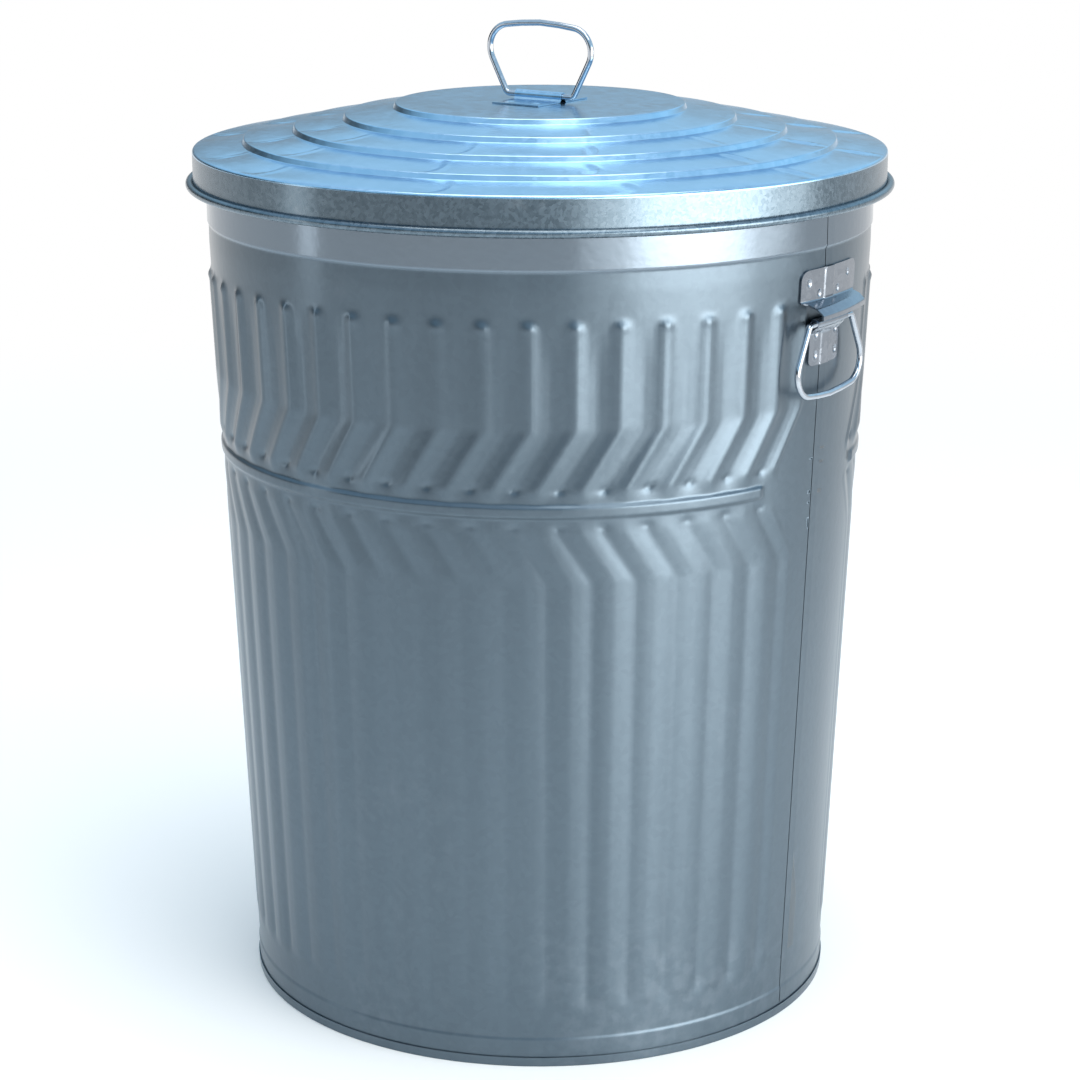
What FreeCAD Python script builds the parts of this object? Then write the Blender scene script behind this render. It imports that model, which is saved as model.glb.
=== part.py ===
import FreeCAD, Part
import math
import os
import Sketcher
from FreeCAD import Placement, Rotation, Vector

# A round galvanized steel trash can with a lift-off lid, in millimetres, +Z up.
# The origin is the centre of the footprint, on the floor. The two side seams, and the
# handles that hang over them, are at +X (right) and -X (left).

# ---------------------------------------------------------------- driving dimensions
SIZES = {
    # body wall: a cone of thin sheet, made of two half panels
    "wall_sheet": 0.6,
    "base_radius": 231.7,
    "wall_taper": 2.44,
    "crease_height": 22.5,
    "crease_step": 0.8,
    "crease_slope": 2.0,
    "foot_band": 22.5,
    # pressed flutes, upwards: a tall lower band, a rib round the waist, a short upper band
    "flute_count": 21,
    "flute_pitch": 7.4,
    "flute_start": 15.2,
    "runout": 7.0,
    "lower_flute": 334.0,
    "lower_slant": 38.0,
    "lower_lean": 5.6,
    "lower_ridge": 0.6,
    "lower_valley": 1.0,
    "rib_gap": 10.0,
    "rib_height": 11.0,
    "rib_rise": 2.0,
    "rib_end": 0.4,
    "upper_slant": 44.0,
    "upper_lean": 6.15,
    "upper_flute": 74.0,
    "upper_ridge": 2.0,
    "upper_valley": 1.0,
    # plain bands above the flutes, and the wired rim
    "neck_band": 20.0,
    "throat_band": 13.5,
    "collar_slope": 1.5,
    "collar_step": 1.2,
    "collar_height": 50.8,
    "rim_wire": 5.3,
    "roll_fit": 0.25,
    # lock seam between the panels: four layers of sheet
    "seam_width": 9.0,
    "seam_jog": 1.5,
    "seam_play": 0.08,
    "seam_lap": 1.2,
    "seam_foot": 1.0,
    "seam_head": 6.0,
    # bottom pan, hemmed round the lower edge of the wall
    "pan_sheet": 0.6,
    "pan_height": 20.0,
    "hem_height": 7.5,
    "hem_fit": 0.4,
    # flat faces round the lid, the pan and the rim wire
    "spun_sides": 64,
    # lid: a stepped dome with a straight skirt and a rolled bead
    "lid_sheet": 0.6,
    "lid_gap": 3.03,
    "lid_steps": 4,
    "step_width": 38.9,
    "riser_drop": 4.2,
    "riser_run": 1.6,
    "terrace_drop": 4.1,
    "shoulder": 1.6,
    "skirt_height": 27.65,
    "lid_bead": 3.15,
    "lid_seat": 0.3,
    # bails of bent wire: one on the lid, one on each side
    "bail_wire": 4.9,
    "bail_foot": 31.0,
    "bail_reach": 57.2,
    "bail_height": 56.5,
    "bail_crown": 6.7,
    "foot_bend": 5.0,
    "corner_bend": 18.0,
    "crown_bend": 150.0,
    "bail_gap": 1.0,
    "bail_play": 0.15,
    # clips that hold the bails, and the stops over the side handles
    "clip_sheet": 1.0,
    "clip_length": 43.0,
    "clip_leaf": 33.0,
    "clip_fit": 0.15,
    "clip_corner": 5.0,
    "pinch_slit": 0.3,
    "lid_clip_depth": 67.0,
    "handle_drop": 20.0,
    "stop_sheet": 1.2,
    "stop_width": 82.0,
    "stop_lift": 15.5,
    "stop_height": 24.5,
    "stop_corner": 8.0,
    "hood_width": 72.0,
    "hood_shelf": 9.0,
    "hood_dip": 2.7,
    "hood_slope": 5.5,
    "hood_fall": 3.1,
    "hood_lip": 3.5,
    "channel_width": 14.0,
    "channel_wall": 0.8,
}

# Places worked out from the sizes, each from the ones before it.
CONE = "tan(Sizes.wall_taper * 1 deg)"
PLACES = {
    "foot_z": "Sizes.crease_height + Sizes.foot_band",
    "lower_foot_z": "foot_z + Sizes.runout",
    "lower_bend_z": "lower_foot_z + Sizes.lower_flute",
    "lower_top_z": "lower_bend_z + Sizes.lower_slant",
    "rib_low_z": "lower_top_z + Sizes.rib_gap",
    "rib_high_z": "rib_low_z + Sizes.rib_height",
    "upper_foot_z": "rib_high_z + Sizes.rib_gap",
    "upper_bend_z": "upper_foot_z + Sizes.upper_slant",
    "upper_top_z": "upper_bend_z + Sizes.upper_flute",
    "flute_top_z": "upper_top_z + Sizes.runout",
    "neck_z": "flute_top_z + Sizes.neck_band",
    "collar_z": "neck_z + Sizes.throat_band + Sizes.collar_slope",
    "wire_z": "collar_z + Sizes.collar_height",
    "neck_radius": "Sizes.base_radius + neck_z * " + CONE,
    "collar_radius": "neck_radius + Sizes.collar_step",
    "wire_radius": "collar_radius + Sizes.roll_fit + Sizes.rim_wire / 2",
    "roll_size": "Sizes.rim_wire / 2 + Sizes.roll_fit + Sizes.wall_sheet",
    "rim_top": "wire_z + roll_size",
    "seat_radius": "wire_radius + roll_size * tan(22.5 deg)",
    "lid_radius": "wire_radius + roll_size + Sizes.lid_gap + Sizes.lid_sheet",
    "lid_z": "rim_top + Sizes.lid_seat + Sizes.lid_sheet"
             " - Sizes.terrace_drop * (lid_radius - seat_radius) / Sizes.step_width",
    "step_drop": "Sizes.riser_drop + Sizes.terrace_drop",
    "disc_z": "lid_z + Sizes.lid_steps * step_drop",
    "seam_rise": "1.5 * (Sizes.wall_sheet + Sizes.seam_play)",
    "eye_bore": "Sizes.bail_wire / 2 + Sizes.bail_play",
    "eye_size": "eye_bore + Sizes.clip_sheet",
    "handle_z": "flute_top_z - Sizes.handle_drop",
    "handle_wall": "Sizes.base_radius + handle_z * " + CONE,
    "handle_x": "handle_wall + seam_rise + Sizes.clip_fit + eye_size",
    "stop_z": "handle_z + Sizes.stop_lift",
    "lid_clip_z": "disc_z + Sizes.clip_fit",
    "lid_axis_z": "lid_clip_z + Sizes.clip_sheet - 0.3 + eye_size",
    "stop_arc": "Sizes.stop_width / handle_wall * 180 / pi",
    "hood_arc": "Sizes.hood_width / handle_wall * 180 / pi",
    "clip_arc": "Sizes.clip_length / handle_wall * 180 / pi",
    "channel_arc": "Sizes.channel_width / handle_wall * 180 / pi",
    "groove_arc": "(Sizes.channel_width - 2 * Sizes.channel_wall) / handle_wall * 180 / pi",
}

ROLL_STEP = 45.0
ROLL_START = 157.5
ROLL_TURNS = 5

doc = FreeCAD.newDocument("TrashCan")


def fill_sheet(name, entries, formula):
    """Write one named cell per entry, as a number or as a formula."""
    sheet = doc.addObject("Spreadsheet::Sheet", name)
    for row, (alias, value) in enumerate(entries.items(), 1):
        sheet.set(f"A{row}", alias)
        sheet.setAlias(f"B{row}", alias)
        sheet.set(f"B{row}", ("=" if formula else "") + str(value))
    doc.recompute()
    return sheet


sizes_sheet = fill_sheet("Sizes", SIZES, formula=False)
places_sheet = fill_sheet("Places", PLACES, formula=True)


def size(alias):
    return float(sizes_sheet.get(alias))


def place(alias):
    return float(places_sheet.get(alias))


def cone(height):
    """Outer radius of the plain wall at a height."""
    return size("base_radius") + height * math.tan(math.radians(size("wall_taper")))


# ---------------------------------------------------------------- sheet-metal helpers
def polar(point):
    radius, azimuth, height = point
    angle = math.radians(azimuth)
    return Vector(radius * math.cos(angle), radius * math.sin(angle), height)


def flat_faces(corners):
    """One flat face through four points, or two triangles where they don't lie in a plane."""
    a, b, c, d = corners
    normal = (c - a).cross(d - b).normalize()
    if abs((b - a).dot(normal)) + abs((c - a).dot(normal)) + abs((d - a).dot(normal)) < 1e-7:
        groups = [corners]
    else:
        groups = [(a, b, c), (a, c, d)]
    return [Part.Face(Part.makePolygon([*group, group[0]])) for group in groups]


def sewn(faces):
    """A solid from the faces that bound it."""
    skin = Part.makeCompound(faces)
    skin.sewShape()
    solid = Part.makeSolid(skin.Shells[0])
    if solid.Volume < 0:
        solid.reverse()
    return solid


def lattice(lines):
    """Flat faces between each line of points and the next."""
    faces = []
    for low, high in zip(lines, lines[1:]):
        for column in range(len(low) - 1):
            faces += flat_faces((low[column], low[column + 1], high[column + 1], high[column]))
    return faces


def sheet_solid(rows):
    """A sheet of metal between two skins: a row is two lists of points, outer skin and inner skin."""
    rows = [[[polar(point) for point in skin] for skin in row] for row in rows]
    faces = lattice([row[0] for row in rows]) + lattice([row[1] for row in rows])
    for column in (0, -1):
        faces += lattice([[row[0][column], row[1][column]] for row in rows])
    for row in (rows[0], rows[-1]):
        faces += lattice(row)
    return sewn(faces)


def spun_solid(line, capped=True):
    """A line of radius and height turned about the axis; a flat disc closes each end of the line."""
    sides = int(size("spun_sides"))
    rings = [[polar((radius, 360 * turn / sides, height)) for turn in range(sides)]
             for radius, height in line]
    rings = [ring + ring[:1] for ring in rings]
    faces = lattice(rings if capped else rings + rings[:1])
    if capped:
        faces += [Part.Face(Part.makePolygon(ring)) for ring in (rings[0], rings[-1])]
    return sewn(faces)


def feature(label, shape, placement=None):
    part = doc.addObject("Part::Feature", label)
    part.Shape = shape
    part.Placement = placement or Placement()
    return part


# ---------------------------------------------------------------- half panels of the wall
def wall_levels():
    """Height, radius, lean of the flutes, ridge height, valley depth and rib height, going up."""
    low = (size("lower_ridge"), size("lower_valley"))
    high = (size("upper_ridge"), size("upper_valley"))
    flat = (0.0, 0.0)
    lower, upper = size("lower_lean"), size("upper_lean")
    crease, slope = size("crease_height"), size("crease_slope")
    step, rib = size("crease_step"), size("rib_rise")
    levels = []

    def level(height, lean, flute, raised=0.0, extra=0.0):
        levels.append((height, cone(height) + extra, lean, *flute, raised))

    level(size("pan_sheet") + size("hem_fit"), lower, flat, extra=step)
    level(crease - slope / 2, lower, flat, extra=step)
    level(crease + slope / 2, lower, flat)
    level(place("foot_z"), lower, flat)
    level(place("lower_foot_z"), lower, low)
    level(place("lower_bend_z"), lower, low)
    level(place("lower_top_z"), 0.0, low)
    level(place("rib_low_z"), 0.0, flat)
    level((place("rib_low_z") + place("rib_high_z")) / 2, 0.0, flat, raised=rib)
    level(place("rib_high_z"), 0.0, flat)
    level(place("upper_foot_z"), 0.0, high)
    level(place("upper_bend_z"), upper, high)
    level(place("upper_top_z"), upper, high)
    level(place("flute_top_z"), upper, flat)
    level(place("neck_z"), upper, flat)
    top = (upper, *flat, 0.0)
    levels.append((place("collar_z") - size("collar_slope"), place("neck_radius"), *top))
    levels.append((place("collar_z"), place("collar_radius"), *top))
    return levels


def flute_columns():
    """Azimuth from the seam, ridge (+) or valley (-), share of the lean, and whether the rib is there."""
    start, pitch, count = size("flute_start"), size("flute_pitch"), int(size("flute_count"))
    half, end = pitch / 2, size("rib_end")
    share = end / half - 1
    last = start + pitch * (count - 1)
    columns = [((start - half) * part, 0.0, part, False) for part in (1 / 3, 2 / 3, 1)]
    columns.append((start - end, share, 1, False))
    for index in range(count):
        columns.append((start + pitch * index, -1.0, 1, True))
        if index < count - 1:
            columns.append((start + pitch * index + half, 1.0, 1, True))
    columns.append((last + end, share, 1, False))
    rest = 180 - last - half
    columns += [(180 - rest * part, 0.0, part, False) for part in (1, 3 / 4, 1 / 2, 1 / 4)]
    return columns


def seam_angle(length):
    """Azimuth of a length along the wall, measured from the middle of the seam."""
    return math.degrees(length / place("neck_radius"))


def roll_rows(azimuths):
    """Rows of points that roll the top edge of the wall outwards round the rim wire."""
    inside = size("rim_wire") / 2 + size("roll_fit")
    corner = 1 / math.cos(math.radians(ROLL_STEP / 2))
    rows = []
    for turn in range(ROLL_TURNS + 1):
        angle = math.radians(ROLL_START - turn * ROLL_STEP)
        skins = []
        for reach in (inside * corner, place("roll_size") * corner):
            radius = place("wire_radius") + reach * math.cos(angle)
            height = place("wire_z") + reach * math.sin(angle)
            skins.append([(radius, azimuth, height) for azimuth in azimuths])
        rows.append(skins)
    return rows


def fluted_field():
    """The wall between the two seams: flutes, rib, bands and rolled rim."""
    sheet = size("wall_sheet")
    edge = seam_angle(size("seam_width") / 2 + size("seam_play") + size("seam_jog"))
    columns = flute_columns()
    rows = []
    for height, radius, lean, ridge, valley, raised in wall_levels():
        points = [(radius, -edge, height)]
        for azimuth, share, leaning, ribbed in columns:
            rise = share * (ridge if share > 0 else valley) + (raised if ribbed else 0.0)
            points.append((radius + rise, lean * leaning - azimuth, height))
        points.append((radius, edge - 180, height))
        rows.append((points, [(r - sheet, a, h) for r, a, h in points]))
    azimuths = [point[1] for point in rows[-1][0]]
    return sheet_solid(rows + roll_rows(azimuths))


def plain_levels(low, high):
    """Height and radius of the plain wall at its bends between two heights."""
    bends = [(h, r) for h, r, *_ in wall_levels() if low < h < high]
    skip = place("foot_z"), place("neck_z")
    bends = [bend for bend in bends if not skip[0] <= bend[0] < skip[1]]
    first = (low, cone(low) + size("crease_step"))
    last = (high, place("collar_radius"))
    return [first, *bends, last]


def seam_strip(side):
    """The end of a panel at its seam: plain at the hem and rim, folded into a hook between.

    Side 1 starts on the innermost layer and folds outwards, side -1 on the outermost and inwards.
    """
    sheet, play, lap = size("wall_sheet"), size("seam_play"), size("seam_lap")
    half = size("seam_width") / 2
    edge = half + play + size("seam_jog")
    foot = size("pan_height") + size("seam_foot")
    head = place("wire_z") - size("seam_head")
    main = -side * 1.5 * (sheet + play)
    tip = side * 0.5 * (sheet + play)
    outer_end, inner_end = (half - sheet, half) if side > 0 else (half, half - sheet)
    # each point: distance past the middle of the seam, and offset from the wall
    outer = [(-edge, 0), (-half - play, main), (outer_end, main),
             (outer_end, tip - sheet), (lap - half, tip - sheet)]
    inner = [(-edge, -sheet), (-half - play, main - sheet), (inner_end, main - sheet),
             (inner_end, tip), (lap - half, tip)]
    plain = [(-edge, 0), (-play, 0)], [(-edge, -sheet), (-play, -sheet)]

    def strip(skins, levels):
        return [[[(radius + offset, side * seam_angle(along), height) for along, offset in skin]
                 for skin in skins] for height, radius in levels]

    lowest = size("pan_sheet") + size("hem_fit")
    step = size("crease_step")
    hem = strip(plain, [(lowest, cone(lowest) + step), (foot, cone(foot) + step)])
    hook = strip((outer, inner), plain_levels(foot, head))
    rim = strip(plain, [(head, place("collar_radius"))])
    rim += roll_rows([-side * seam_angle(edge), -side * seam_angle(play)])
    return [sheet_solid(rows) for rows in (hem, hook, rim)]


def half_panel():
    """The front panel: its right end hooks at +X, its left end at -X."""
    left = seam_strip(-1)
    for strip in left:
        strip.rotate(Vector(), Vector(0, 0, 1), 180)
    return fluted_field().fuse(seam_strip(1) + left)


# ---------------------------------------------------------------- bodies made from sketches
def new_body(label):
    body = doc.addObject("PartDesign::Body", label)
    body.Label = label
    return body


def new_sketch(body, name, role, shift=None):
    """A sketch on one of the body's planes; shift is an expression for its distance from it."""
    sketch = body.newObject("Sketcher::SketchObject", f"{body.Label}_{name}")
    plane = next(item for item in body.Origin.OriginFeatures if item.Role == role)
    sketch.AttachmentSupport = [(plane, "")]
    sketch.MapMode = "FlatFace"
    if shift:
        sketch.setExpression("AttachmentOffset.Base.z", shift)
    return sketch


def pin(sketch, geometry, end, point):
    """Hold one point of a sketch at a pair of expressions, measured from the sketch's origin."""
    here = sketch.getPoint(geometry, end)
    for kind, axis, now, expression in (("DistanceX", -2, here.x, point[0]),
                                        ("DistanceY", -1, here.y, point[1])):
        if expression == "0":
            sketch.addConstraint(Sketcher.Constraint("PointOnObject", geometry, end, axis))
        else:
            number = sketch.addConstraint(Sketcher.Constraint(kind, -1, 1, geometry, end, now))
            sketch.setExpression(f"Constraints[{number}]", expression)


def outline(body, name, role, points, shift=None):
    """A closed outline of straight runs, each corner held by a pair of expressions."""
    sketch = new_sketch(body, name, role, shift)
    count = len(points)
    guess = [Vector(10.0 + 7 * index, 5.0 + index * index, 0) for index in range(count)]
    for index in range(count):
        sketch.addGeometry(Part.LineSegment(guess[index], guess[(index + 1) % count]))
    for index in range(count):
        follows = (index + 1) % count
        sketch.addConstraint(Sketcher.Constraint("Coincident", index, 2, follows, 1))
    for index, point in enumerate(points):
        pin(sketch, index, 1, point)
    return sketch


def circles(body, name, role, centre, radii, shift=None):
    """Circles about one centre, each radius an expression."""
    sketch = new_sketch(body, name, role, shift)
    for index, radius in enumerate(radii):
        sketch.addGeometry(Part.Circle(Vector(5, 5, 0), Vector(0, 0, 1), 3.0 - index))
        number = sketch.addConstraint(Sketcher.Constraint("Radius", index, 3.0 - index))
        sketch.setExpression(f"Constraints[{number}]", radius)
        if index:
            sketch.addConstraint(Sketcher.Constraint("Coincident", index, 3, 0, 3))
    pin(sketch, 0, 3, centre)
    return sketch


def swept(body, kind, sketch, measure, expression):
    """A pad, pocket, revolution or groove of a sketch, the same way to both sides of its plane."""
    solid = body.newObject(f"PartDesign::{kind}", f"{sketch.Name}_{kind}")
    solid.Profile = sketch
    if measure == "Angle":
        solid.ReferenceAxis = (sketch, ["V_Axis"])
    solid.Midplane = True
    solid.setExpression(measure, expression)
    return solid


def revolve(body, sketch, angle="360"):
    return swept(body, "Revolution", sketch, "Angle", angle)


def groove(body, sketch, angle):
    return swept(body, "Groove", sketch, "Angle", angle)


def pad(body, sketch, length):
    return swept(body, "Pad", sketch, "Length", length)


def pocket(body, sketch, length):
    return swept(body, "Pocket", sketch, "Length", length)


def round_edges(body, radius, wanted):
    """Fillet the straight edges whose two ends both pass a test."""
    doc.recompute()
    solid = body.Tip
    names = [f"Edge{number}" for number, edge in enumerate(solid.Shape.Edges, 1)
             if len(edge.Vertexes) == 2 and all(wanted(v.Point) for v in edge.Vertexes)]
    fillet = body.newObject("PartDesign::Fillet", f"{body.Label}_round")
    fillet.Base = (solid, names)
    fillet.setExpression("Radius", radius)
    return fillet


def wall(level):
    """Expression for the outer radius of the plain wall at a height."""
    return f"Sizes.base_radius + ({level}) * {CONE}"


def on_wall(level, offset):
    """A point of a sketch, offset outwards from the wall at a height."""
    return f"{wall(level)} + {offset}", level


# ---------------------------------------------------------------- base, rim wire and lid
def bottom_pan():
    """A round pan turned upside down: its skirt folds up round the lower edge of the wall."""
    sheet, height, hem = size("pan_sheet"), size("pan_height"), size("hem_height")

    def inner(level, offset=0.0):
        return cone(level) + size("crease_step") - size("wall_sheet") - size("hem_fit") - offset

    def outer(level, offset=0.0):
        return cone(level) + size("crease_step") + size("hem_fit") + offset

    line = [(inner(height), height), (inner(sheet), sheet), (outer(sheet), sheet),
            (outer(hem), hem), (outer(hem, sheet), hem), (outer(0, sheet), 0),
            (inner(0, sheet), 0), (inner(height, sheet), height - sheet)]
    return feature("bottom_pan", spun_solid(line))


def rim_wire():
    """The stiffening wire inside the rolled rim, drawn with eight sides."""
    reach = size("rim_wire") / 2
    corners = [math.radians(22.5 + 45 * turn) for turn in range(8)]
    line = [(place("wire_radius") + reach * math.cos(corner),
             place("wire_z") + reach * math.sin(corner)) for corner in corners]
    return feature("rim_wire", spun_solid(line, capped=False))


def lid_shell():
    """Stepped dome, skirt and rolled bead."""
    radius, sheet, top = place("lid_radius"), size("lid_sheet"), place("lid_z")
    half_run, drop = size("riser_run") / 2, place("step_drop")
    dome = []
    for step in range(int(size("lid_steps")), 0, -1):
        ring, level = radius - step * size("step_width"), top + step * drop
        dome.append((ring - half_run, level))
        dome.append((ring + half_run, level - size("riser_drop")))
    dome.append((radius - size("shoulder"), top))
    inside = [(across - 0.6 * sheet, height - sheet) for across, height in dome]
    bead = size("lid_bead")
    flat = bead * math.tan(math.radians(22.5))
    centre, level = radius - sheet + bead, top - size("shoulder") - size("skirt_height") + bead
    corners = [(-flat, bead), (flat, bead), (bead, flat), (bead, -flat),
               (flat, -bead), (-flat, -bead), (-bead, -flat)]
    skirt_top = top - size("shoulder")
    skirt = [(radius, skirt_top), (radius, level + flat + sheet)]
    skirt += [(centre + across, level + up) for across, up in corners]
    skirt.append((radius - sheet, skirt_top))
    return feature("lid_shell", spun_solid([*dome, *skirt, *reversed(inside)]))


# ---------------------------------------------------------------- stops, clips and bails
def handle_stop(label, turn):
    """A flange on the wall with a hood over the bail, which stops it from swinging further up."""
    body = new_body(label)
    sheet, low, fit = "Sizes.stop_sheet", "Places.stop_z", "Sizes.clip_fit"
    high, rise = f"{low} + Sizes.stop_height", "Places.seam_rise + Sizes.clip_fit"
    flange = outline(body, "flange", "XZ_Plane", [
        on_wall(low, fit), on_wall(low, f"{fit} + {sheet}"),
        on_wall(high, f"{fit} + {sheet}"), on_wall(high, fit)])
    revolve(body, flange, "Places.stop_arc")
    root = f"{wall(low)} + {fit}"
    bend, end = f"{root} + {sheet} + Sizes.hood_shelf", f"{root} + {sheet} + Sizes.hood_shelf"
    end += " + Sizes.hood_slope"
    bend_z = f"{low} + {sheet} - Sizes.hood_dip"
    end_z = f"{bend_z} - Sizes.hood_fall"
    lip_z = f"{end_z} - Sizes.hood_lip"
    hood = outline(body, "hood", "XZ_Plane", [
        (root, low), (f"{bend} - 0.2 * {sheet}", f"{bend_z} - {sheet}"),
        (f"{end} - {sheet}", f"{end_z} - 0.6 * {sheet}"), (f"{end} - {sheet}", lip_z),
        (end, lip_z), (end, end_z), (bend, bend_z), (root, f"{low} + {sheet}")])
    revolve(body, hood, "Places.hood_arc")
    channel = outline(body, "channel", "XZ_Plane", [
        on_wall(low, f"{fit} + 0.5 * {sheet}"), on_wall(low, f"{rise} + {sheet}"),
        on_wall(high, f"{rise} + {sheet}"), on_wall(high, f"{fit} + 0.5 * {sheet}")])
    revolve(body, channel, "Places.channel_arc")
    hollow = outline(body, "hollow", "XZ_Plane", [
        on_wall(f"{low} - 5", "-2"), on_wall(f"{low} - 5", rise),
        on_wall(f"{high} + 1", rise), on_wall(f"{high} + 1", "-2")])
    groove(body, hollow, "Places.groove_arc")
    top, side = place("stop_z") + size("stop_height"), size("stop_width") / 2 - 2
    round_edges(body, "Sizes.stop_corner", lambda p: abs(p.z - top) < 0.01 and abs(p.y) > side)
    body.Placement = Placement(Vector(), Rotation(Vector(0, 0, 1), turn))
    return body


def handle_clip(label, turn):
    """A strip of sheet folded round the straight middle of a side bail and welded to the wall."""
    body = new_body(label)
    sheet, fit = "Sizes.clip_sheet", "Sizes.clip_fit"
    axis_x, axis_z, rise = "Places.handle_x", "Places.handle_z", "Places.seam_rise + Sizes.clip_fit"
    low, high = f"{axis_z} - Sizes.clip_leaf", f"{axis_z} - 4"
    eye = circles(body, "eye", "XZ_Plane", (axis_x, axis_z), ("Places.eye_size", "Places.eye_bore"))
    pad(body, eye, "Sizes.clip_length")
    under, root = f"{axis_z} - Places.eye_bore - 0.3", "Places.handle_wall + 0.1"
    neck = outline(body, "neck", "XZ_Plane", [
        (root, under), (root, f"{axis_z} - 8"), (f"{root} + Places.seam_rise + {sheet}", f"{axis_z} - 8"),
        (f"{axis_x} + 0.8", f"{axis_z} - Places.eye_bore - 0.7"), (axis_x, under)])
    pad(body, neck, "Sizes.clip_length")
    leaf = outline(body, "leaf", "XZ_Plane", [
        on_wall(low, fit), on_wall(low, f"{fit} + {sheet}"),
        on_wall(high, f"{fit} + {sheet}"), on_wall(high, fit)])
    revolve(body, leaf, "Places.clip_arc")
    channel = outline(body, "channel", "XZ_Plane", [
        on_wall(low, f"{fit} + 0.5 * {sheet}"), on_wall(low, f"{rise} + {sheet}"),
        on_wall(high, f"{rise} + {sheet}"), on_wall(high, f"{fit} + 0.5 * {sheet}")])
    revolve(body, channel, "Places.channel_arc")
    hollow = outline(body, "hollow", "XZ_Plane", [
        on_wall(f"{low} - 1", "-2"), on_wall(f"{low} - 1", rise),
        on_wall(f"{axis_z} - Places.eye_bore", rise), on_wall(f"{axis_z} - Places.eye_bore", "-2")])
    groove(body, hollow, "Places.groove_arc")
    bottom, side = place("handle_z") - size("clip_leaf"), size("clip_length") / 2 - 1
    round_edges(body, "Sizes.clip_corner", lambda p: abs(p.z - bottom) < 0.01 and abs(p.y) > side)
    body.Placement = Placement(Vector(), Rotation(Vector(0, 0, 1), turn))
    return body


def lid_handle_clip():
    """A flat strip welded to the lid, arched in the middle over the straight part of its bail."""
    body = new_body("lid_handle_clip")
    axis_z, half = "Places.lid_axis_z", "Sizes.clip_length / 2"
    depth, bottom = "Sizes.lid_clip_depth / 2", "Places.lid_clip_z"
    strap = outline(body, "strap", "YZ_Plane", [
        (f"-{depth}", bottom), (depth, bottom), (depth, f"{bottom} + Sizes.clip_sheet"),
        (f"-{depth}", f"{bottom} + Sizes.clip_sheet")])
    pad(body, strap, "Sizes.clip_length")
    eye = circles(body, "eye", "YZ_Plane", ("0", axis_z), ("Places.eye_size", "Places.eye_bore"))
    pad(body, eye, "Sizes.clip_length")
    slit = outline(body, "slit", "YZ_Plane", [
        ("-Sizes.pinch_slit / 2", f"{bottom} - 1"), ("Sizes.pinch_slit / 2", f"{bottom} - 1"),
        ("Sizes.pinch_slit / 2", axis_z), ("-Sizes.pinch_slit / 2", axis_z)])
    pocket(body, slit, "Sizes.clip_length + 2")
    return body


def bent_path(points, bends):
    """Lines and tangent arcs along a path that turns left at each corner."""
    pieces, start = [], points[0]
    for index, bend in enumerate(bends, 1):
        corner = points[index]
        back = (points[index - 1] - corner).normalize()
        ahead = (points[index + 1] - corner).normalize()
        half = back.getAngle(ahead) / 2
        enter = corner + back * (bend / math.tan(half))
        leave = corner + ahead * (bend / math.tan(half))
        centre = corner + (back + ahead).normalize() * (bend / math.sin(half))
        angles = [math.atan2((end - centre).y, (end - centre).x) for end in (enter, leave)]
        circle = Part.Circle(centre, Vector(0, 0, 1), bend)
        pieces.append(Part.LineSegment(start, enter))
        pieces.append(Part.ArcOfCircle(circle, *angles))
        start = leave
    pieces.append(Part.LineSegment(start, points[-1]))
    return pieces


def bail(label, placement, place_names):
    """A bent wire, pivoting on its X axis, crown towards Y, its two ends meeting in the clip."""
    body = new_body(label)
    gap, foot, reach = size("bail_gap") / 2, size("bail_foot"), size("bail_reach")
    top, shoulder = size("bail_height"), size("bail_height") - size("bail_crown")
    points = [Vector(gap, 0), Vector(foot, 0), Vector(reach, shoulder), Vector(0, top),
              Vector(-reach, shoulder), Vector(-foot, 0), Vector(-gap, 0)]
    level = "Sizes.bail_height - Sizes.bail_crown"
    rules = [("Sizes.bail_gap / 2", "0"), ("Sizes.bail_foot", "0"), ("Sizes.bail_reach", level),
             ("0", "Sizes.bail_height"), ("-Sizes.bail_reach", level), ("-Sizes.bail_foot", "0"),
             ("-Sizes.bail_gap / 2", "0")]
    bends = ["foot_bend", "corner_bend", "crown_bend", "corner_bend", "foot_bend"]
    path = new_sketch(body, "path", "XY_Plane")
    pieces = bent_path(points, [size(bend) for bend in bends])
    path.addGeometry(pieces)
    last = len(pieces) - 1
    for index in range(last):
        path.addConstraint(Sketcher.Constraint("Tangent", index, 2, index + 1, 1))
    for turn, bend in enumerate(bends):
        number = path.addConstraint(Sketcher.Constraint("Radius", 2 * turn + 1, size(bend)))
        path.setExpression(f"Constraints[{number}]", f"Sizes.{bend}")
        corner = path.addGeometry(Part.Point(points[turn + 1]), True)
        path.addConstraint(Sketcher.Constraint("PointOnObject", corner, 1, 2 * turn))
        path.addConstraint(Sketcher.Constraint("PointOnObject", corner, 1, 2 * turn + 2))
        pin(path, corner, 1, rules[turn + 1])
    pin(path, 0, 1, rules[0])
    pin(path, last, 2, rules[-1])
    reach = "Sizes.bail_wire / 2"
    ring = outline(body, "section", "YZ_Plane", [
        (f"{reach} * cos({turn} deg)", f"{reach} * sin({turn} deg)")
        for turn in (22.5, 67.5, 112.5, 157.5, 202.5, 247.5, 292.5, 337.5)], "Sizes.bail_gap / 2")
    doc.recompute()
    pipe = body.newObject("PartDesign::AdditivePipe", f"{label}_pipe")
    pipe.Profile = ring
    pipe.Spine = (path, [f"Edge{number + 1}" for number in range(len(pieces))])
    body.Placement = placement
    for axis, expression in place_names.items():
        body.setExpression(f"Placement.Base.{axis}", expression)
    return body


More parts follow.
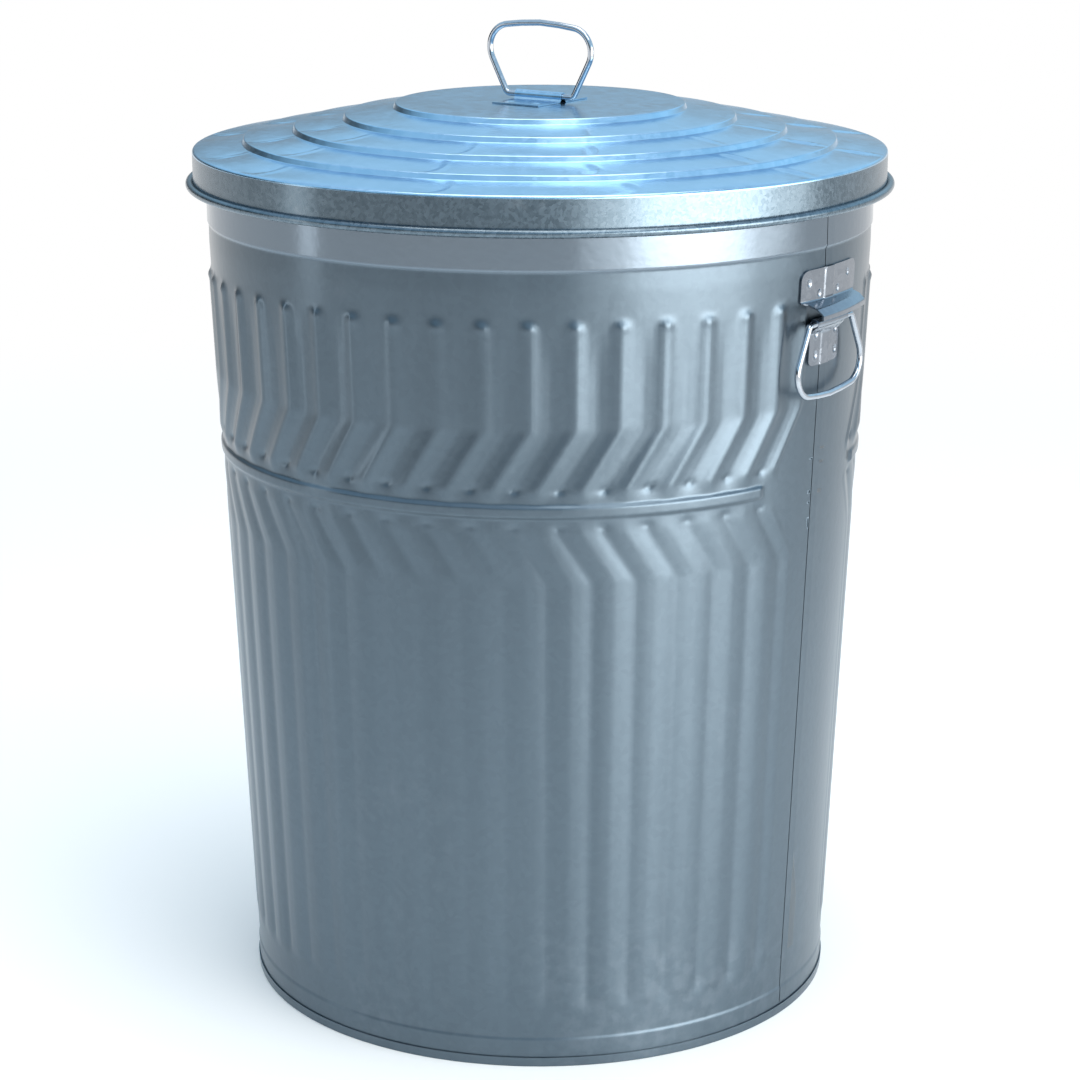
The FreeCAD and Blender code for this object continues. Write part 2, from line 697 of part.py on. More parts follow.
# ---------------------------------------------------------------- the whole can
def build():
    panel = half_panel()
    half_turn = Placement(Vector(), Rotation(Vector(0, 0, 1), 180))
    upright = Placement(Vector(), Rotation(Vector(1, 0, 0), 90))
    hang_right = Placement(Vector(), Rotation(Vector(0, 1, 0), Vector(0, 0, -1), Vector(-1, 0, 0)))
    hang_left = Placement(Vector(), Rotation(Vector(0, -1, 0), Vector(0, 0, -1), Vector(1, 0, 0)))
    return [
        feature("body_panel_front", panel),
        feature("body_panel_rear", panel, half_turn),
        bottom_pan(),
        rim_wire(),
        lid_shell(),
        handle_stop("handle_stop_right", 0),
        handle_stop("handle_stop_left", 180),
        handle_clip("handle_clip_right", 0),
        handle_clip("handle_clip_left", 180),
        lid_handle_clip(),
        bail("lid_handle", upright, {"z": "Places.lid_axis_z"}),
        bail("side_handle_right", hang_right, {"x": "Places.handle_x", "z": "Places.handle_z"}),
        bail("side_handle_left", hang_left, {"x": "-Places.handle_x", "z": "Places.handle_z"}),
    ]


def check(parts):
    """Stop when something did not build: an object in error, a bad solid or a cut that missed."""
    for item in doc.Objects:
        if "Invalid" in item.State or "Error" in item.State:
            raise ValueError(f"{item.Name} did not build: {item.State}")
    for part in parts:
        shape = part.Shape
        if shape.isNull() or not shape.isValid() or len(shape.Solids) != 1:
            raise ValueError(f"{part.Label} is not one sound solid")
    for cut in doc.Objects:
        if cut.TypeId in ("PartDesign::Groove", "PartDesign::Pocket"):
            if cut.Shape.Volume > cut.BaseFeature.Shape.Volume - 1:
                raise ValueError(f"{cut.Name} removed nothing")


def export(parts):
    os.makedirs("parts", exist_ok=True)
    for part in parts:
        part.Shape.exportStep(f"parts/{part.Label}.step")
        box = part.Shape.BoundBox
        print(f"{part.Label}: {part.Shape.Volume:.0f} mm3, "
              f"x {box.XMin:.1f} {box.XMax:.1f}, y {box.YMin:.1f} {box.YMax:.1f}, "
              f"z {box.ZMin:.1f} {box.ZMax:.1f}")


parts = build()
doc.recompute()
check(parts)
export(parts)
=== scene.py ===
# %% [markdown]
# # A galvanized trash can with a lift-off lid
# The can is thin zinc-coated sheet steel: two fluted half panels, a folded base, a stepped lid and
# wire bails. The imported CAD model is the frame: it fixes every size and every joint. This lesson
# keeps those sizes and gives each piece the rounder folds, weld marks and zinc finish of the real
# one. Lengths are in metres, +Z is up, and the seams with the side handles are at +X and -X.

# %% Load the frame
import math

import bmesh
import bpy
import numpy as np
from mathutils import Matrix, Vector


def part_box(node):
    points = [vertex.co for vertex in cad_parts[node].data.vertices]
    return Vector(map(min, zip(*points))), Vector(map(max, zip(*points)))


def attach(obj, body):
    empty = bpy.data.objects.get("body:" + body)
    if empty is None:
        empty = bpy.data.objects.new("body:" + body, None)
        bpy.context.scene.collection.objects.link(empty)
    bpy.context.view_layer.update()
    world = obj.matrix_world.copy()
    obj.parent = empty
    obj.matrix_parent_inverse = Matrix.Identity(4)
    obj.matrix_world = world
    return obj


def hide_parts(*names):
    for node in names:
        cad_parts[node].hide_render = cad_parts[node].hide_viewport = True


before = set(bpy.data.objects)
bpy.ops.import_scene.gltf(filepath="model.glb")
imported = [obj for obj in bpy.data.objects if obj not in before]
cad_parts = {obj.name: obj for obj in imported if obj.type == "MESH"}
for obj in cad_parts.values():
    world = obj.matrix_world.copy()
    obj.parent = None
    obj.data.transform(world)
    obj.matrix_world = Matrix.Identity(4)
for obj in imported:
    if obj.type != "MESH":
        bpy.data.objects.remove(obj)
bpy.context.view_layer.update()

MM = 0.001
print("frame nodes:", len(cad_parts))

# %% [markdown]
# ## The view
# The camera stands where the photographer stood, 2.26 m from the can's axis and 0.97 m above the
# floor, and looks down by about 15 degrees. The distance came first, from how much the ellipses of
# lid and base differ, and then the focal length, from the size of the can in the frame.

# %% Camera
CAMERA_AZIMUTH = -55.35
CAMERA_DISTANCE = 2.257
CAMERA_HEIGHT = 0.970
CAMERA_PITCH = 15.34
CAMERA_LENS = 96.9

camera_data = bpy.data.cameras.new("camera")
camera_data.lens = CAMERA_LENS
camera_data.sensor_width = 36.0
camera = bpy.data.objects.new("camera", camera_data)
bpy.context.scene.collection.objects.link(camera)
camera_angle = math.radians(CAMERA_AZIMUTH)
camera.location = (CAMERA_DISTANCE * math.cos(camera_angle),
                   CAMERA_DISTANCE * math.sin(camera_angle), CAMERA_HEIGHT)
camera.rotation_euler = (math.radians(90 - CAMERA_PITCH), 0, camera_angle + math.pi / 2)
bpy.context.scene.camera = camera
bpy.context.scene.view_settings.view_transform = "Standard"
print("camera at", [round(x, 3) for x in camera.location])

# %% [markdown]
# ## Sheet metal as two skins
# Every pressed or folded piece here is a grid of points for its outer skin and one for its inner
# skin. One helper stitches the two into a closed mesh, so a piece has the thickness of real sheet.

# %% Stitch two skins into a closed sheet
def stitch(rows, columns, around):
    """Quads of a grid of points, wrapped round in the column direction or not."""
    row, column = np.meshgrid(np.arange(rows - 1), np.arange(columns - (not around)), indexing="ij")
    after = (column + 1) % columns
    a, b = row * columns + column, row * columns + after
    return np.stack([a, b, b + columns, a + columns], axis=-1).reshape(-1, 4)


SHARP_ANGLE, MERGE_DISTANCE = math.radians(40), 1e-6


def add_mesh(name, points, quads):
    """A smooth shaded piece with sharp edges where the sheet folds hard."""
    mesh = bpy.data.meshes.new(name)
    mesh.from_pydata(points.tolist(), [], quads.tolist())
    shape = bmesh.new()
    shape.from_mesh(mesh)
    bmesh.ops.remove_doubles(shape, verts=shape.verts, dist=MERGE_DISTANCE)
    bmesh.ops.recalc_face_normals(shape, faces=shape.faces)
    shape.to_mesh(mesh)
    shape.free()
    mesh.polygons.foreach_set("use_smooth", [True] * len(mesh.polygons))
    mesh.set_sharp_from_angle(angle=SHARP_ANGLE)
    piece = bpy.data.objects.new(name, mesh)
    bpy.context.scene.collection.objects.link(piece)
    return piece


def sheet_grids(outer, inner, around=False):
    """Points and quads of a closed sheet between an outer and an inner grid of points."""
    rows, columns = outer.shape[:2]
    count = rows * columns
    points = np.concatenate([outer.reshape(-1, 3), inner.reshape(-1, 3)])
    front = stitch(rows, columns, around)
    quads = [front, front[:, ::-1] + count]
    edges = []
    for row in (0, rows - 1):
        line = np.arange(columns) + row * columns
        line = np.append(line, line[0]) if around else line
        edges.append(line if row == 0 else line[::-1])
    if not around:
        for column in (0, columns - 1):
            line = np.arange(rows) * columns + column
            edges.append(line[::-1] if column == 0 else line)
    for line in edges:
        a, b = line[:-1], line[1:]
        quads.append(np.stack([a, a + count, b + count, b], axis=-1))
    return points, np.concatenate(quads)


def join_grids(parts):
    """Several sets of points and quads as one."""
    points, quads, start = [], [], 0
    for part_points, part_quads in parts:
        points.append(part_points)
        quads.append(part_quads + start)
        start += len(part_points)
    return np.concatenate(points), np.concatenate(quads)


def polar(radius, azimuth, height):
    """Points from radius, azimuth in degrees and height, in metres."""
    angle = np.radians(azimuth)
    x, y = radius * np.cos(angle), radius * np.sin(angle)
    return np.stack(np.broadcast_arrays(x, y, height), axis=-1)


def divided(line, step, length=np.linalg.norm):
    """The points of a line with its stretches cut into pieces of about one step, without its end."""
    fine = []
    for a, b in zip(line, line[1:]):
        count = max(1, int(length(b - a) / step))
        fine += [a + (b - a) * part / count for part in range(count)]
    return fine


def eased(at, knots, values, ease):
    """A bent line through knots, with each bend rounded off over a short length."""
    shifts = np.linspace(-ease, ease, 9)
    return np.mean([np.interp(at + shift, knots, values) for shift in shifts], axis=0)


# %% [markdown]
# ## The fluted wall
# The wall is a cone of 0.6 mm sheet. Flutes are pressed into it in two bands, and both bands lean
# near the waist, one each way, so that they meet the rib as a chevron. The sizes repeat the ones
# that the CAD model was made from.

# %% Sizes of the wall
WALL_SHEET = 0.6 * MM
BASE_RADIUS = 231.7 * MM
TAPER = math.tan(math.radians(2.44))
CREASE_Z, CREASE_STEP = 22.5 * MM, 0.8 * MM
FOOT_Z = 45 * MM
LOWER_FOOT_Z, LOWER_BEND_Z, LOWER_TOP_Z = 52 * MM, 386 * MM, 424 * MM
RIB_LOW_Z, RIB_HIGH_Z, RIB_RISE = 434 * MM, 445 * MM, 2.0 * MM
UPPER_FOOT_Z, UPPER_BEND_Z, UPPER_TOP_Z = 455 * MM, 499 * MM, 573 * MM
FLUTE_TOP_Z = 580 * MM
NECK_Z, COLLAR_Z, COLLAR_STEP = 600 * MM, 615 * MM, 1.2 * MM
RIM_Z = 665.8 * MM
ROLL_INSIDE = 2.9 * MM
FLUTES, PITCH, FIRST_FLUTE = 21, 7.4, 15.2
LOWER_LEAN, UPPER_LEAN = 5.6, 6.15
LOWER_WAVE, UPPER_WAVE = (0.6 * MM, 1.0 * MM), (2.0 * MM, 1.0 * MM)
SEAM_HALF, SEAM_JOG, SEAM_PLAY, SEAM_LAP = 4.5 * MM, 1.5 * MM, 0.08 * MM, 1.2 * MM
SEAM_SUNK, SEAM_STEP = 0.75 * MM, 0.35 * MM
SEAM_FOOT_Z, SEAM_HEAD = 9.5 * MM, 6 * MM
LOWEST_Z = 1.0 * MM
NECK_RADIUS = BASE_RADIUS + NECK_Z * TAPER
COLLAR_RADIUS = NECK_RADIUS + COLLAR_STEP
ROLL_RADIUS = COLLAR_RADIUS + ROLL_INSIDE
ROLL_LOW_Z = RIM_Z - 2 * MM


def wall_radius(height):
    """Radius of the wall's outer face without flutes: cone, foot crease, straight neck and collar."""
    cone = BASE_RADIUS + np.minimum(height, NECK_Z) * TAPER
    foot = eased(height, [CREASE_Z - MM, CREASE_Z + MM], [CREASE_STEP, 0], 0.8 * MM)
    collar = eased(height, [COLLAR_Z - 1.5 * MM, COLLAR_Z], [0, COLLAR_STEP], 0.8 * MM)
    return cone + foot + collar


def wave(turns):
    """Pleats with slightly rounded edges: 1 on a ridge, -1 in a valley, valley at whole turns."""
    crest = 0.985
    return -np.arcsin(crest * np.cos(2 * np.pi * turns)) / math.asin(crest)


print("neck radius", round(NECK_RADIUS / MM, 1), "mm")

# %% Rows of the wall, closer together where the sheet bends
# Each band of rows by its upper end and its spacing, from the foot up to the roll.
ROW_BANDS = [
    (20 * MM, 8 * MM), (25 * MM, 0.6 * MM), (43 * MM, 9 * MM), (56 * MM, 1.4 * MM),
    (378 * MM, 40 * MM), (394 * MM, 2 * MM), (418 * MM, 4 * MM), (462 * MM, 0.9 * MM),
    (491 * MM, 4 * MM), (507 * MM, 2 * MM), (568 * MM, 12 * MM), (585 * MM, 1.4 * MM),
    (611 * MM, 4 * MM), (618 * MM, 0.6 * MM), (ROLL_LOW_Z, 11 * MM)]
bands, low = [], LOWEST_Z
for high, step in ROW_BANDS:
    bands.append(np.linspace(low, high, max(2, round((high - low) / step) + 1))[:-1])
    low = high
wall_rows = np.concatenate(bands + [[ROLL_LOW_Z]])
roll_turns = np.radians(np.linspace(180, -110, 14))


def roll_rows(offset):
    """Radius and height of the top edge rolled outwards round the rim wire, at both skins."""
    reach = ROLL_INSIDE + offset
    return ROLL_RADIUS + reach * np.cos(roll_turns), RIM_Z + reach * np.sin(roll_turns)


print("rows in the wall:", len(wall_rows) + len(roll_turns))

# %% Flutes and rib as an offset of the wall
LEAN_EASE, RIB_EDGE, RIB_EASE = 2.5 * MM, 2.2 * MM, 0.9 * MM
VALLEY_RUN_OUT = 28 * MM
# Dimples and bumps at the ends of the pleats: height, offset outwards, valley (-1) or ridge (1),
# reach.
ENDS = [(455.5 * MM, -1.3 * MM, -1, 3.0 * MM), (574 * MM, 1.0 * MM, 1, 3.6 * MM),
        (427.5 * MM, -0.9 * MM, -1, 2.6 * MM), (57 * MM, -0.5 * MM, -1, 3.0 * MM)]


def lean_at(height):
    """How far round the ridges stand from their place at the rib, in degrees."""
    return eased(height, [LOWER_BEND_Z, LOWER_TOP_Z, UPPER_FOOT_Z, UPPER_BEND_Z],
                 [LOWER_LEAN, 0, 0, UPPER_LEAN], LEAN_EASE)


def pressed_out(turns, height):
    """How far the pressed sheet stands off the plain wall, by turns of the flutes and height."""
    low = eased(height, [FOOT_Z, LOWER_FOOT_Z, LOWER_TOP_Z, RIB_LOW_Z], [0, 1, 1, 0], LEAN_EASE)
    high = eased(height, [RIB_HIGH_Z, UPPER_FOOT_Z, UPPER_TOP_Z, FLUTE_TOP_Z], [0, 1, 1, 0], LEAN_EASE)
    deep = eased(height, [RIB_HIGH_Z, UPPER_FOOT_Z, UPPER_TOP_Z - VALLEY_RUN_OUT, FLUTE_TOP_Z],
                 [0, 1, 1, 0], LEAN_EASE)
    pleat = np.where((turns > -0.5) & (turns < FLUTES - 0.5), wave(turns), 0.0)
    edge = np.clip(np.minimum(turns + 0.5, FLUTES - 0.5 - turns) / 0.12, 0, 1)
    pressed = 0.0
    for up, down, (ridge, valley) in ((low, low, LOWER_WAVE), (high, deep, UPPER_WAVE)):
        pressed = pressed + np.where(pleat > 0, up * pleat * ridge, down * pleat * valley)
    valley, ridge = np.clip(-pleat, 0, 1) ** 2.5, np.clip(pleat, 0, 1) ** 2.5
    for level, depth, where, reach in ENDS:
        fade = math.exp(-((height - level) / reach) ** 2)
        pressed = pressed + depth * (valley if where < 0 else ridge) * fade
    rib = eased(height, [RIB_LOW_Z, RIB_LOW_Z + RIB_EDGE, RIB_HIGH_Z - RIB_EDGE, RIB_HIGH_Z],
                [0, RIB_RISE, RIB_RISE, 0], RIB_EASE)
    ends = np.clip(np.minimum(turns, FLUTES - 1 - turns) / 0.1 + 1, 0, 1)
    return pressed * edge + rib * (3 * ends ** 2 - 2 * ends ** 3)


def field_columns():
    """Azimuths from the seam, twelve to each flute, and how much of the lean each one follows."""
    seam_edge = math.degrees((SEAM_HALF + SEAM_PLAY + SEAM_JOG) / NECK_RADIUS)
    start, end = FIRST_FLUTE - PITCH, FIRST_FLUTE + PITCH * FLUTES
    fluted = np.arange(start, end, PITCH / 12)
    azimuth = np.concatenate([np.linspace(seam_edge, start, 7)[:-1], fluted,
                              np.linspace(fluted[-1], 180 - seam_edge, 7)[1:]])
    follows = np.concatenate([np.linspace(0, 1, 7)[:-1], np.ones(len(fluted)),
                              np.linspace(1, 0, 7)[1:]])
    return azimuth, follows


field, follows = field_columns()
print("columns between the seams:", len(field))

# %% One half panel
def field_skins():
    """Outer and inner skins of the wall between its seams, with the roll at the top."""
    lean = lean_at(wall_rows)[:, None] * follows[None, :]
    azimuth = lean - field[None, :]
    turns = (field - FIRST_FLUTE) / PITCH
    pressed = np.stack([pressed_out(turns, height) for height in wall_rows])
    skins = []
    for offset in (0.0, -WALL_SHEET):
        radius = wall_radius(wall_rows)[:, None] + pressed + offset
        wall = polar(radius, azimuth, wall_rows[:, None])
        reach, level = roll_rows(-offset)
        roll = polar(reach[:, None], -field[None, :], level[:, None])
        skins.append(np.concatenate([wall, roll]))
    return skins


def seam_skins(side):
    """The end strips of a panel at +X: plain at hem and rim, and a folded hook between."""
    pitch = WALL_SHEET + SEAM_PLAY
    edge = SEAM_HALF + SEAM_PLAY + SEAM_JOG
    jog = SEAM_HALF + SEAM_STEP
    main, tip = -side * 1.5 * pitch - SEAM_SUNK, side * 0.5 * pitch - SEAM_SUNK
    fold = (SEAM_HALF - WALL_SHEET, SEAM_HALF)
    outer_end, inner_end = fold if side > 0 else fold[::-1]
    outer = [(-edge, 0), (-jog, 0), (-SEAM_HALF - SEAM_PLAY, main), (outer_end, main),
             (outer_end, tip - WALL_SHEET), (SEAM_LAP - SEAM_HALF, tip - WALL_SHEET)]
    inner = [(-edge, -WALL_SHEET), (-jog - 0.1 * MM, -WALL_SHEET),
             (-SEAM_HALF - SEAM_PLAY, main - WALL_SHEET), (inner_end, main - WALL_SHEET),
             (inner_end, tip), (SEAM_LAP - SEAM_HALF, tip)]
    plain = [(-edge, 0), (-SEAM_PLAY, 0)], [(-edge, -WALL_SHEET), (-SEAM_PLAY, -WALL_SHEET)]
    foot, head = SEAM_FOOT_Z, RIM_Z - SEAM_HEAD

    def grids(profiles, rows, rolled=False):
        made = []
        for profile, roll_offset in zip(profiles, (0.0, WALL_SHEET)):
            along, offset = np.array(profile, float).T
            azimuth = side * np.degrees(along / NECK_RADIUS)
            grid = polar(wall_radius(rows)[:, None] + offset, azimuth[None, :], rows[:, None])
            if rolled:
                reach, level = roll_rows(roll_offset)
                roll = polar(reach[:, None], azimuth[None, :], level[:, None])
                grid = np.concatenate([grid, roll])
            made.append(grid)
        return sheet_grids(*made)

    middle = wall_rows[(wall_rows > foot) & (wall_rows < head)]
    return [grids(plain, np.array([LOWEST_Z, foot])),
            grids((outer, inner), np.concatenate([[foot], middle, [head]])),
            grids(plain, np.array([head, ROLL_LOW_Z]), rolled=True)]


def turned(points):
    """Points turned half way round the can's axis."""
    return points * np.array([-1, -1, 1])


left_end = [(turned(points), quads) for points, quads in seam_skins(-1)]
panel_points, panel_quads = join_grids([sheet_grids(*field_skins())] + seam_skins(1) + left_end)
panel_front = add_mesh("wall_front", panel_points, panel_quads)
panel_rear = add_mesh("wall_rear", turned(panel_points), panel_quads)
for panel, node in ((panel_front, "body_panel_front"), (panel_rear, "body_panel_rear")):
    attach(panel, "can")
    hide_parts(node)
print("panel faces:", len(panel_quads))

# %% [markdown]
# ## Spun sheet: the lid and the base
# Both are round, so each starts as the bent line of its section. A helper rounds the corners of
# that line as a press tool would, another turns it about the axis as a sheet with two skins.

# %% Round the corners of a bent line
def rounded(points, radii, steps=5):
    """A bent line with its inner corners replaced by arcs of the given radii."""
    points = [np.array(point, float) for point in points]
    line = [points[0]]
    for before, corner, after, radius in zip(points, points[1:], points[2:], radii):
        back, ahead = before - corner, after - corner
        room = min(np.linalg.norm(back), np.linalg.norm(ahead)) * 0.49
        back, ahead = back / np.linalg.norm(back), ahead / np.linalg.norm(ahead)
        half = math.acos(np.clip(back @ ahead, -1, 1)) / 2
        reach = min(radius / math.tan(half), room)
        start, end = corner + back * reach, corner + ahead * reach
        for share in np.linspace(0, 1, steps + 1):
            rest = 1 - share
            line.append(rest ** 2 * start + 2 * share * rest * corner + share ** 2 * end)
    line.append(points[-1])
    return np.array(line)


def skins_of(line, sheet):
    """A bent line moved to both sides by half the sheet: left of its direction first."""
    ahead = np.gradient(line, axis=0)
    ahead /= np.linalg.norm(ahead, axis=1)[:, None]
    left = np.stack([-ahead[:, 1], ahead[:, 0]], axis=-1)
    return line + left * sheet / 2, line - left * sheet / 2


def spin(name, line, sheet, turns=288, lift=None):
    """A bent line of radius and height as a sheet turned about the axis; lift adds to its height."""
    azimuth = np.arange(turns) * 360 / turns
    grids = []
    for skin in skins_of(line, sheet):
        radius = np.maximum(skin[:, 0], 0)
        grid = polar(radius[:, None], azimuth[None, :], skin[:, 1][:, None])
        if lift is not None:
            grid[..., 2] += lift(radius[:, None], azimuth[None, :], skin[:, 1][:, None])
        grids.append(grid)
    points, quads = sheet_grids(*grids, around=True)
    return add_mesh(name, points, quads)


# %% [markdown]
# The lid is a stepped dome: four low risers with sloping terraces between them, then a rounded
# shoulder, a straight skirt and a bead rolled outwards. Pressing the steps gathers the sheet, and
# that leaves short creases across the outer terraces.

# %% Lid
LID_SHEET = 0.6 * MM
LID_RADIUS, LID_STEPS, STEP_WIDTH = 268.5 * MM, 4, 38.9 * MM
RISER_DROP, RISER_RUN, STEP_DROP = 4.2 * MM, 1.6 * MM, 8.3 * MM
lid_low, lid_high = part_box("lid_shell")
DISC_Z, LID_BOTTOM_Z = lid_high.z, lid_low.z
LID_TOP_Z = DISC_Z - LID_STEPS * STEP_DROP
BEAD_ROLL, TERRACE_STEP = 2.85 * MM, 5 * MM
RISER_BEND, SHOULDER_BEND = 0.9 * MM, 2.2 * MM
CREASE_BULGE, CREASE_LIP = 1.9 * MM, 0.9 * MM
CREASES = [-161, -130.4, -111.4, -75.4, -45.4, -12.4, 15.7, 44, 76, 103, 137, 168]

lid_line, lid_bends = [(0, DISC_Z)], []
for step in range(LID_STEPS, 0, -1):
    ring, level = LID_RADIUS - step * STEP_WIDTH, LID_TOP_Z + step * STEP_DROP
    lid_line += [(ring - RISER_RUN / 2, level), (ring + RISER_RUN / 2, level - RISER_DROP)]
    lid_bends += [RISER_BEND, RISER_BEND]
bead_z = LID_BOTTOM_Z + BEAD_ROLL + LID_SHEET / 2
lid_line += [(LID_RADIUS, LID_TOP_Z - 0.1 * MM), (LID_RADIUS, bead_z)]
lid_bends += [SHOULDER_BEND]
lid_line = rounded([(r - LID_SHEET / 2 * (r > 0), z - LID_SHEET / 2) for r, z in lid_line[:-1]]
                   + [(LID_RADIUS - LID_SHEET / 2, bead_z)], lid_bends)
bead_turns = np.radians(np.linspace(180, 500, 26))[1:]
bead_centre = LID_RADIUS - LID_SHEET / 2 + BEAD_ROLL
bead = np.stack([bead_centre + BEAD_ROLL * np.cos(bead_turns),
                 bead_z + BEAD_ROLL * np.sin(bead_turns)], axis=-1)
terraces = divided(lid_line, TERRACE_STEP, length=lambda way: abs(way[0]))
lid_line = np.concatenate([terraces, [lid_line[-1]], bead])


def lid_creases(radius, azimuth, height):
    """The outer terraces bulge between short radial creases, with a small lip beside each."""
    share = (radius - (LID_RADIUS - LID_STEPS * STEP_WIDTH)) / STEP_WIDTH
    along = share - np.floor(share)
    outer = np.clip((share - 0.55) / 1.6, 0, 1) * (radius < LID_RADIUS - 2 * MM)
    turned_by = 2.5 * np.sin(2.2 * np.floor(share) + 0.8) + 2.0 * np.sin(np.pi * along)
    around = (azimuth - turned_by - CREASES[0]) % 360 + CREASES[0]
    count = np.interp(around, CREASES + [CREASES[0] + 360], np.arange(len(CREASES) + 1))
    petal = count - np.floor(count)
    bulge = np.sin(np.pi * petal) ** 0.55 - 0.75
    lip = np.exp(-((petal - 0.055) / 0.022) ** 2)
    ease = np.sin(np.pi * np.clip(along, 0.02, 0.98)) ** 0.8
    return outer * ease * (CREASE_BULGE * bulge + CREASE_LIP * lip)


lid = spin("lid_dome", lid_line, LID_SHEET, turns=900, lift=lid_creases)
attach(lid, "lid")
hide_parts("lid_shell")
print("lid section points:", len(lid_line))

# %% Base: a pan turned upside down and folded up round the wall
PAN_SHEET, PAN_HEIGHT, HEM_HEIGHT, HEM_FIT = 0.6 * MM, 20 * MM, 7.5 * MM, 0.4 * MM
PAN_BEND, HEM_BEND = 2 * MM, 0.8 * MM


def foot_radius(height):
    """Radius of the wall's outer face below its foot crease."""
    return BASE_RADIUS + height * TAPER + CREASE_STEP


pan_inner, pan_outer = -WALL_SHEET - HEM_FIT - PAN_SHEET / 2, HEM_FIT + PAN_SHEET / 2
pan_line = rounded([
    (0, PAN_HEIGHT - PAN_SHEET / 2),
    (foot_radius(PAN_HEIGHT) + pan_inner, PAN_HEIGHT - PAN_SHEET / 2),
    (foot_radius(0) + pan_inner, PAN_SHEET / 2),
    (foot_radius(0) + pan_outer, PAN_SHEET / 2),
    (foot_radius(HEM_HEIGHT) + pan_outer, HEM_HEIGHT)],
    [PAN_BEND, HEM_BEND, HEM_BEND])
pan = spin("base_pan", pan_line, PAN_SHEET)
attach(pan, "can")
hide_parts("bottom_pan")

# %% [markdown]
# ## Bails
# Each bail is one length of wire bent in a flat shape: a straight foot that turns in its clip, two
# legs that open outwards, and a nearly straight grip. The same line serves all three.

# %% Bail of bent wire
WIRE, SOLID_WIRE_HALF = 4.8 * MM, 2.26 * MM
BAIL_GAP, BAIL_FOOT, BAIL_REACH = 1 * MM, 31 * MM, 57.2 * MM
BAIL_HEIGHT, BAIL_CROWN = 56.5 * MM, 6.7 * MM
FOOT_BEND, CORNER_BEND, CROWN_BEND = 5 * MM, 18 * MM, 150 * MM
ARC_DEGREES, WIRE_SIDES = 8, 20


def fillet(points, radii):
    """A bent line with true arcs at its corners, a point for every few degrees."""
    points = [np.array(point, float) for point in points]
    line = [points[0]]
    for before, corner, after, radius in zip(points, points[1:], points[2:], radii):
        back = (before - corner) / np.linalg.norm(before - corner)
        ahead = (after - corner) / np.linalg.norm(after - corner)
        half = math.acos(np.clip(back @ ahead, -1, 1)) / 2
        start = corner + back * radius / math.tan(half)
        middle = (back + ahead) / np.linalg.norm(back + ahead)
        centre = corner + middle * radius / math.sin(half)
        turn = math.pi - 2 * half
        sign = np.sign(back[0] * ahead[1] - back[1] * ahead[0]) * -1
        count = max(2, math.ceil(math.degrees(turn) / ARC_DEGREES))
        x, y = start - centre
        for share in np.linspace(0, turn, count + 1) * sign:
            cos, sin = math.cos(share), math.sin(share)
            line.append(centre + np.array([x * cos - y * sin, x * sin + y * cos]))
    line.append(points[-1])
    return np.array(line)


half_bail = [(BAIL_GAP / 2, 0), (BAIL_FOOT, 0), (BAIL_REACH, BAIL_HEIGHT - BAIL_CROWN)]
bail_line = fillet(half_bail + [(0, BAIL_HEIGHT)] + [(-x, y) for x, y in reversed(half_bail)],
                   [FOOT_BEND, CORNER_BEND, CROWN_BEND, CORNER_BEND, FOOT_BEND])


def tube(name, line, radius, place):
    """A round wire along a flat line, its ends open in the clip; place puts it on the can."""
    ahead = np.gradient(line, axis=0)
    ahead /= np.linalg.norm(ahead, axis=1)[:, None]
    across = np.stack([-ahead[:, 1], ahead[:, 0]], axis=-1)
    turn = np.arange(WIRE_SIDES) * 2 * math.pi / WIRE_SIDES
    flat = line[:, None, :] + across[:, None, :] * (radius * np.cos(turn))[None, :, None]
    depth = np.broadcast_to(radius * np.sin(turn), flat.shape[:2])
    points = place(flat[..., 0], flat[..., 1], depth)
    return add_mesh(name, points.reshape(-1, 3), stitch(len(line), WIRE_SIDES, True))


def on_lid(x, y, depth):
    """The lid's bail stands upright across the can."""
    return np.stack([x, -depth, y + lid_axis], axis=-1)


def on_side(sign):
    """A side bail hangs down in front of the seam at +X or -X."""
    def place(x, y, depth):
        return np.stack([sign * (side_axis_x - depth), sign * x, side_axis_z - y], axis=-1)
    return place


lid_bail_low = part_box("lid_handle")[0]
side_low, side_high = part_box("side_handle_right")
lid_axis = lid_bail_low.z + SOLID_WIRE_HALF
side_axis_x = (side_low.x + side_high.x) / 2
side_axis_z = side_high.z - SOLID_WIRE_HALF
side_radius = BASE_RADIUS + side_axis_z * TAPER
bails = {
    "lid_bail_wire": ("lid_bail", "lid_handle", on_lid),
    "right_bail_wire": ("right_bail", "side_handle_right", on_side(1)),
    "left_bail_wire": ("left_bail", "side_handle_left", on_side(-1)),
}
bail_pieces = []
for name, (body, node, place) in bails.items():
    wire = tube(name, bail_line, WIRE / 2, place)
    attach(wire, body)
    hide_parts(node)
    bail_pieces.append(wire)
print("side axis", round(side_axis_x / MM, 1), round(side_axis_z / MM, 1), "mm")
print("lid axis", round(lid_axis / MM, 1), "mm")

# %% [markdown]
# ## Clips and stops
# The clips are strips folded round the wire, the stops are flanges with a pressed hood. All lie on
# the wall, step over the seam and show round dents where they were spot welded. Each is a grid
# that follows a bent line outwards and up, with the dents and the channel added to its offset.

# %% Strips that lie on the wall
CLIP_SHEET, STOP_SHEET, CLIP_FIT = 1.0 * MM, 1.2 * MM, 0.15 * MM
SEAM_RISE, CHANNEL = 1.5 * (WALL_SHEET + SEAM_PLAY), (5.6 * MM, 7.4 * MM)
STRIP_STEP = 1.0 * MM
CLIP_HALF, STOP_HALF, HOOD_HALF = 21.5 * MM, 41 * MM, 36 * MM


def smooth_step(value, low, high):
    """From 0 at low to 1 at high with a soft start and end."""
    share = np.clip((value - low) / (high - low), 0, 1)
    return share * share * (3 - 2 * share)


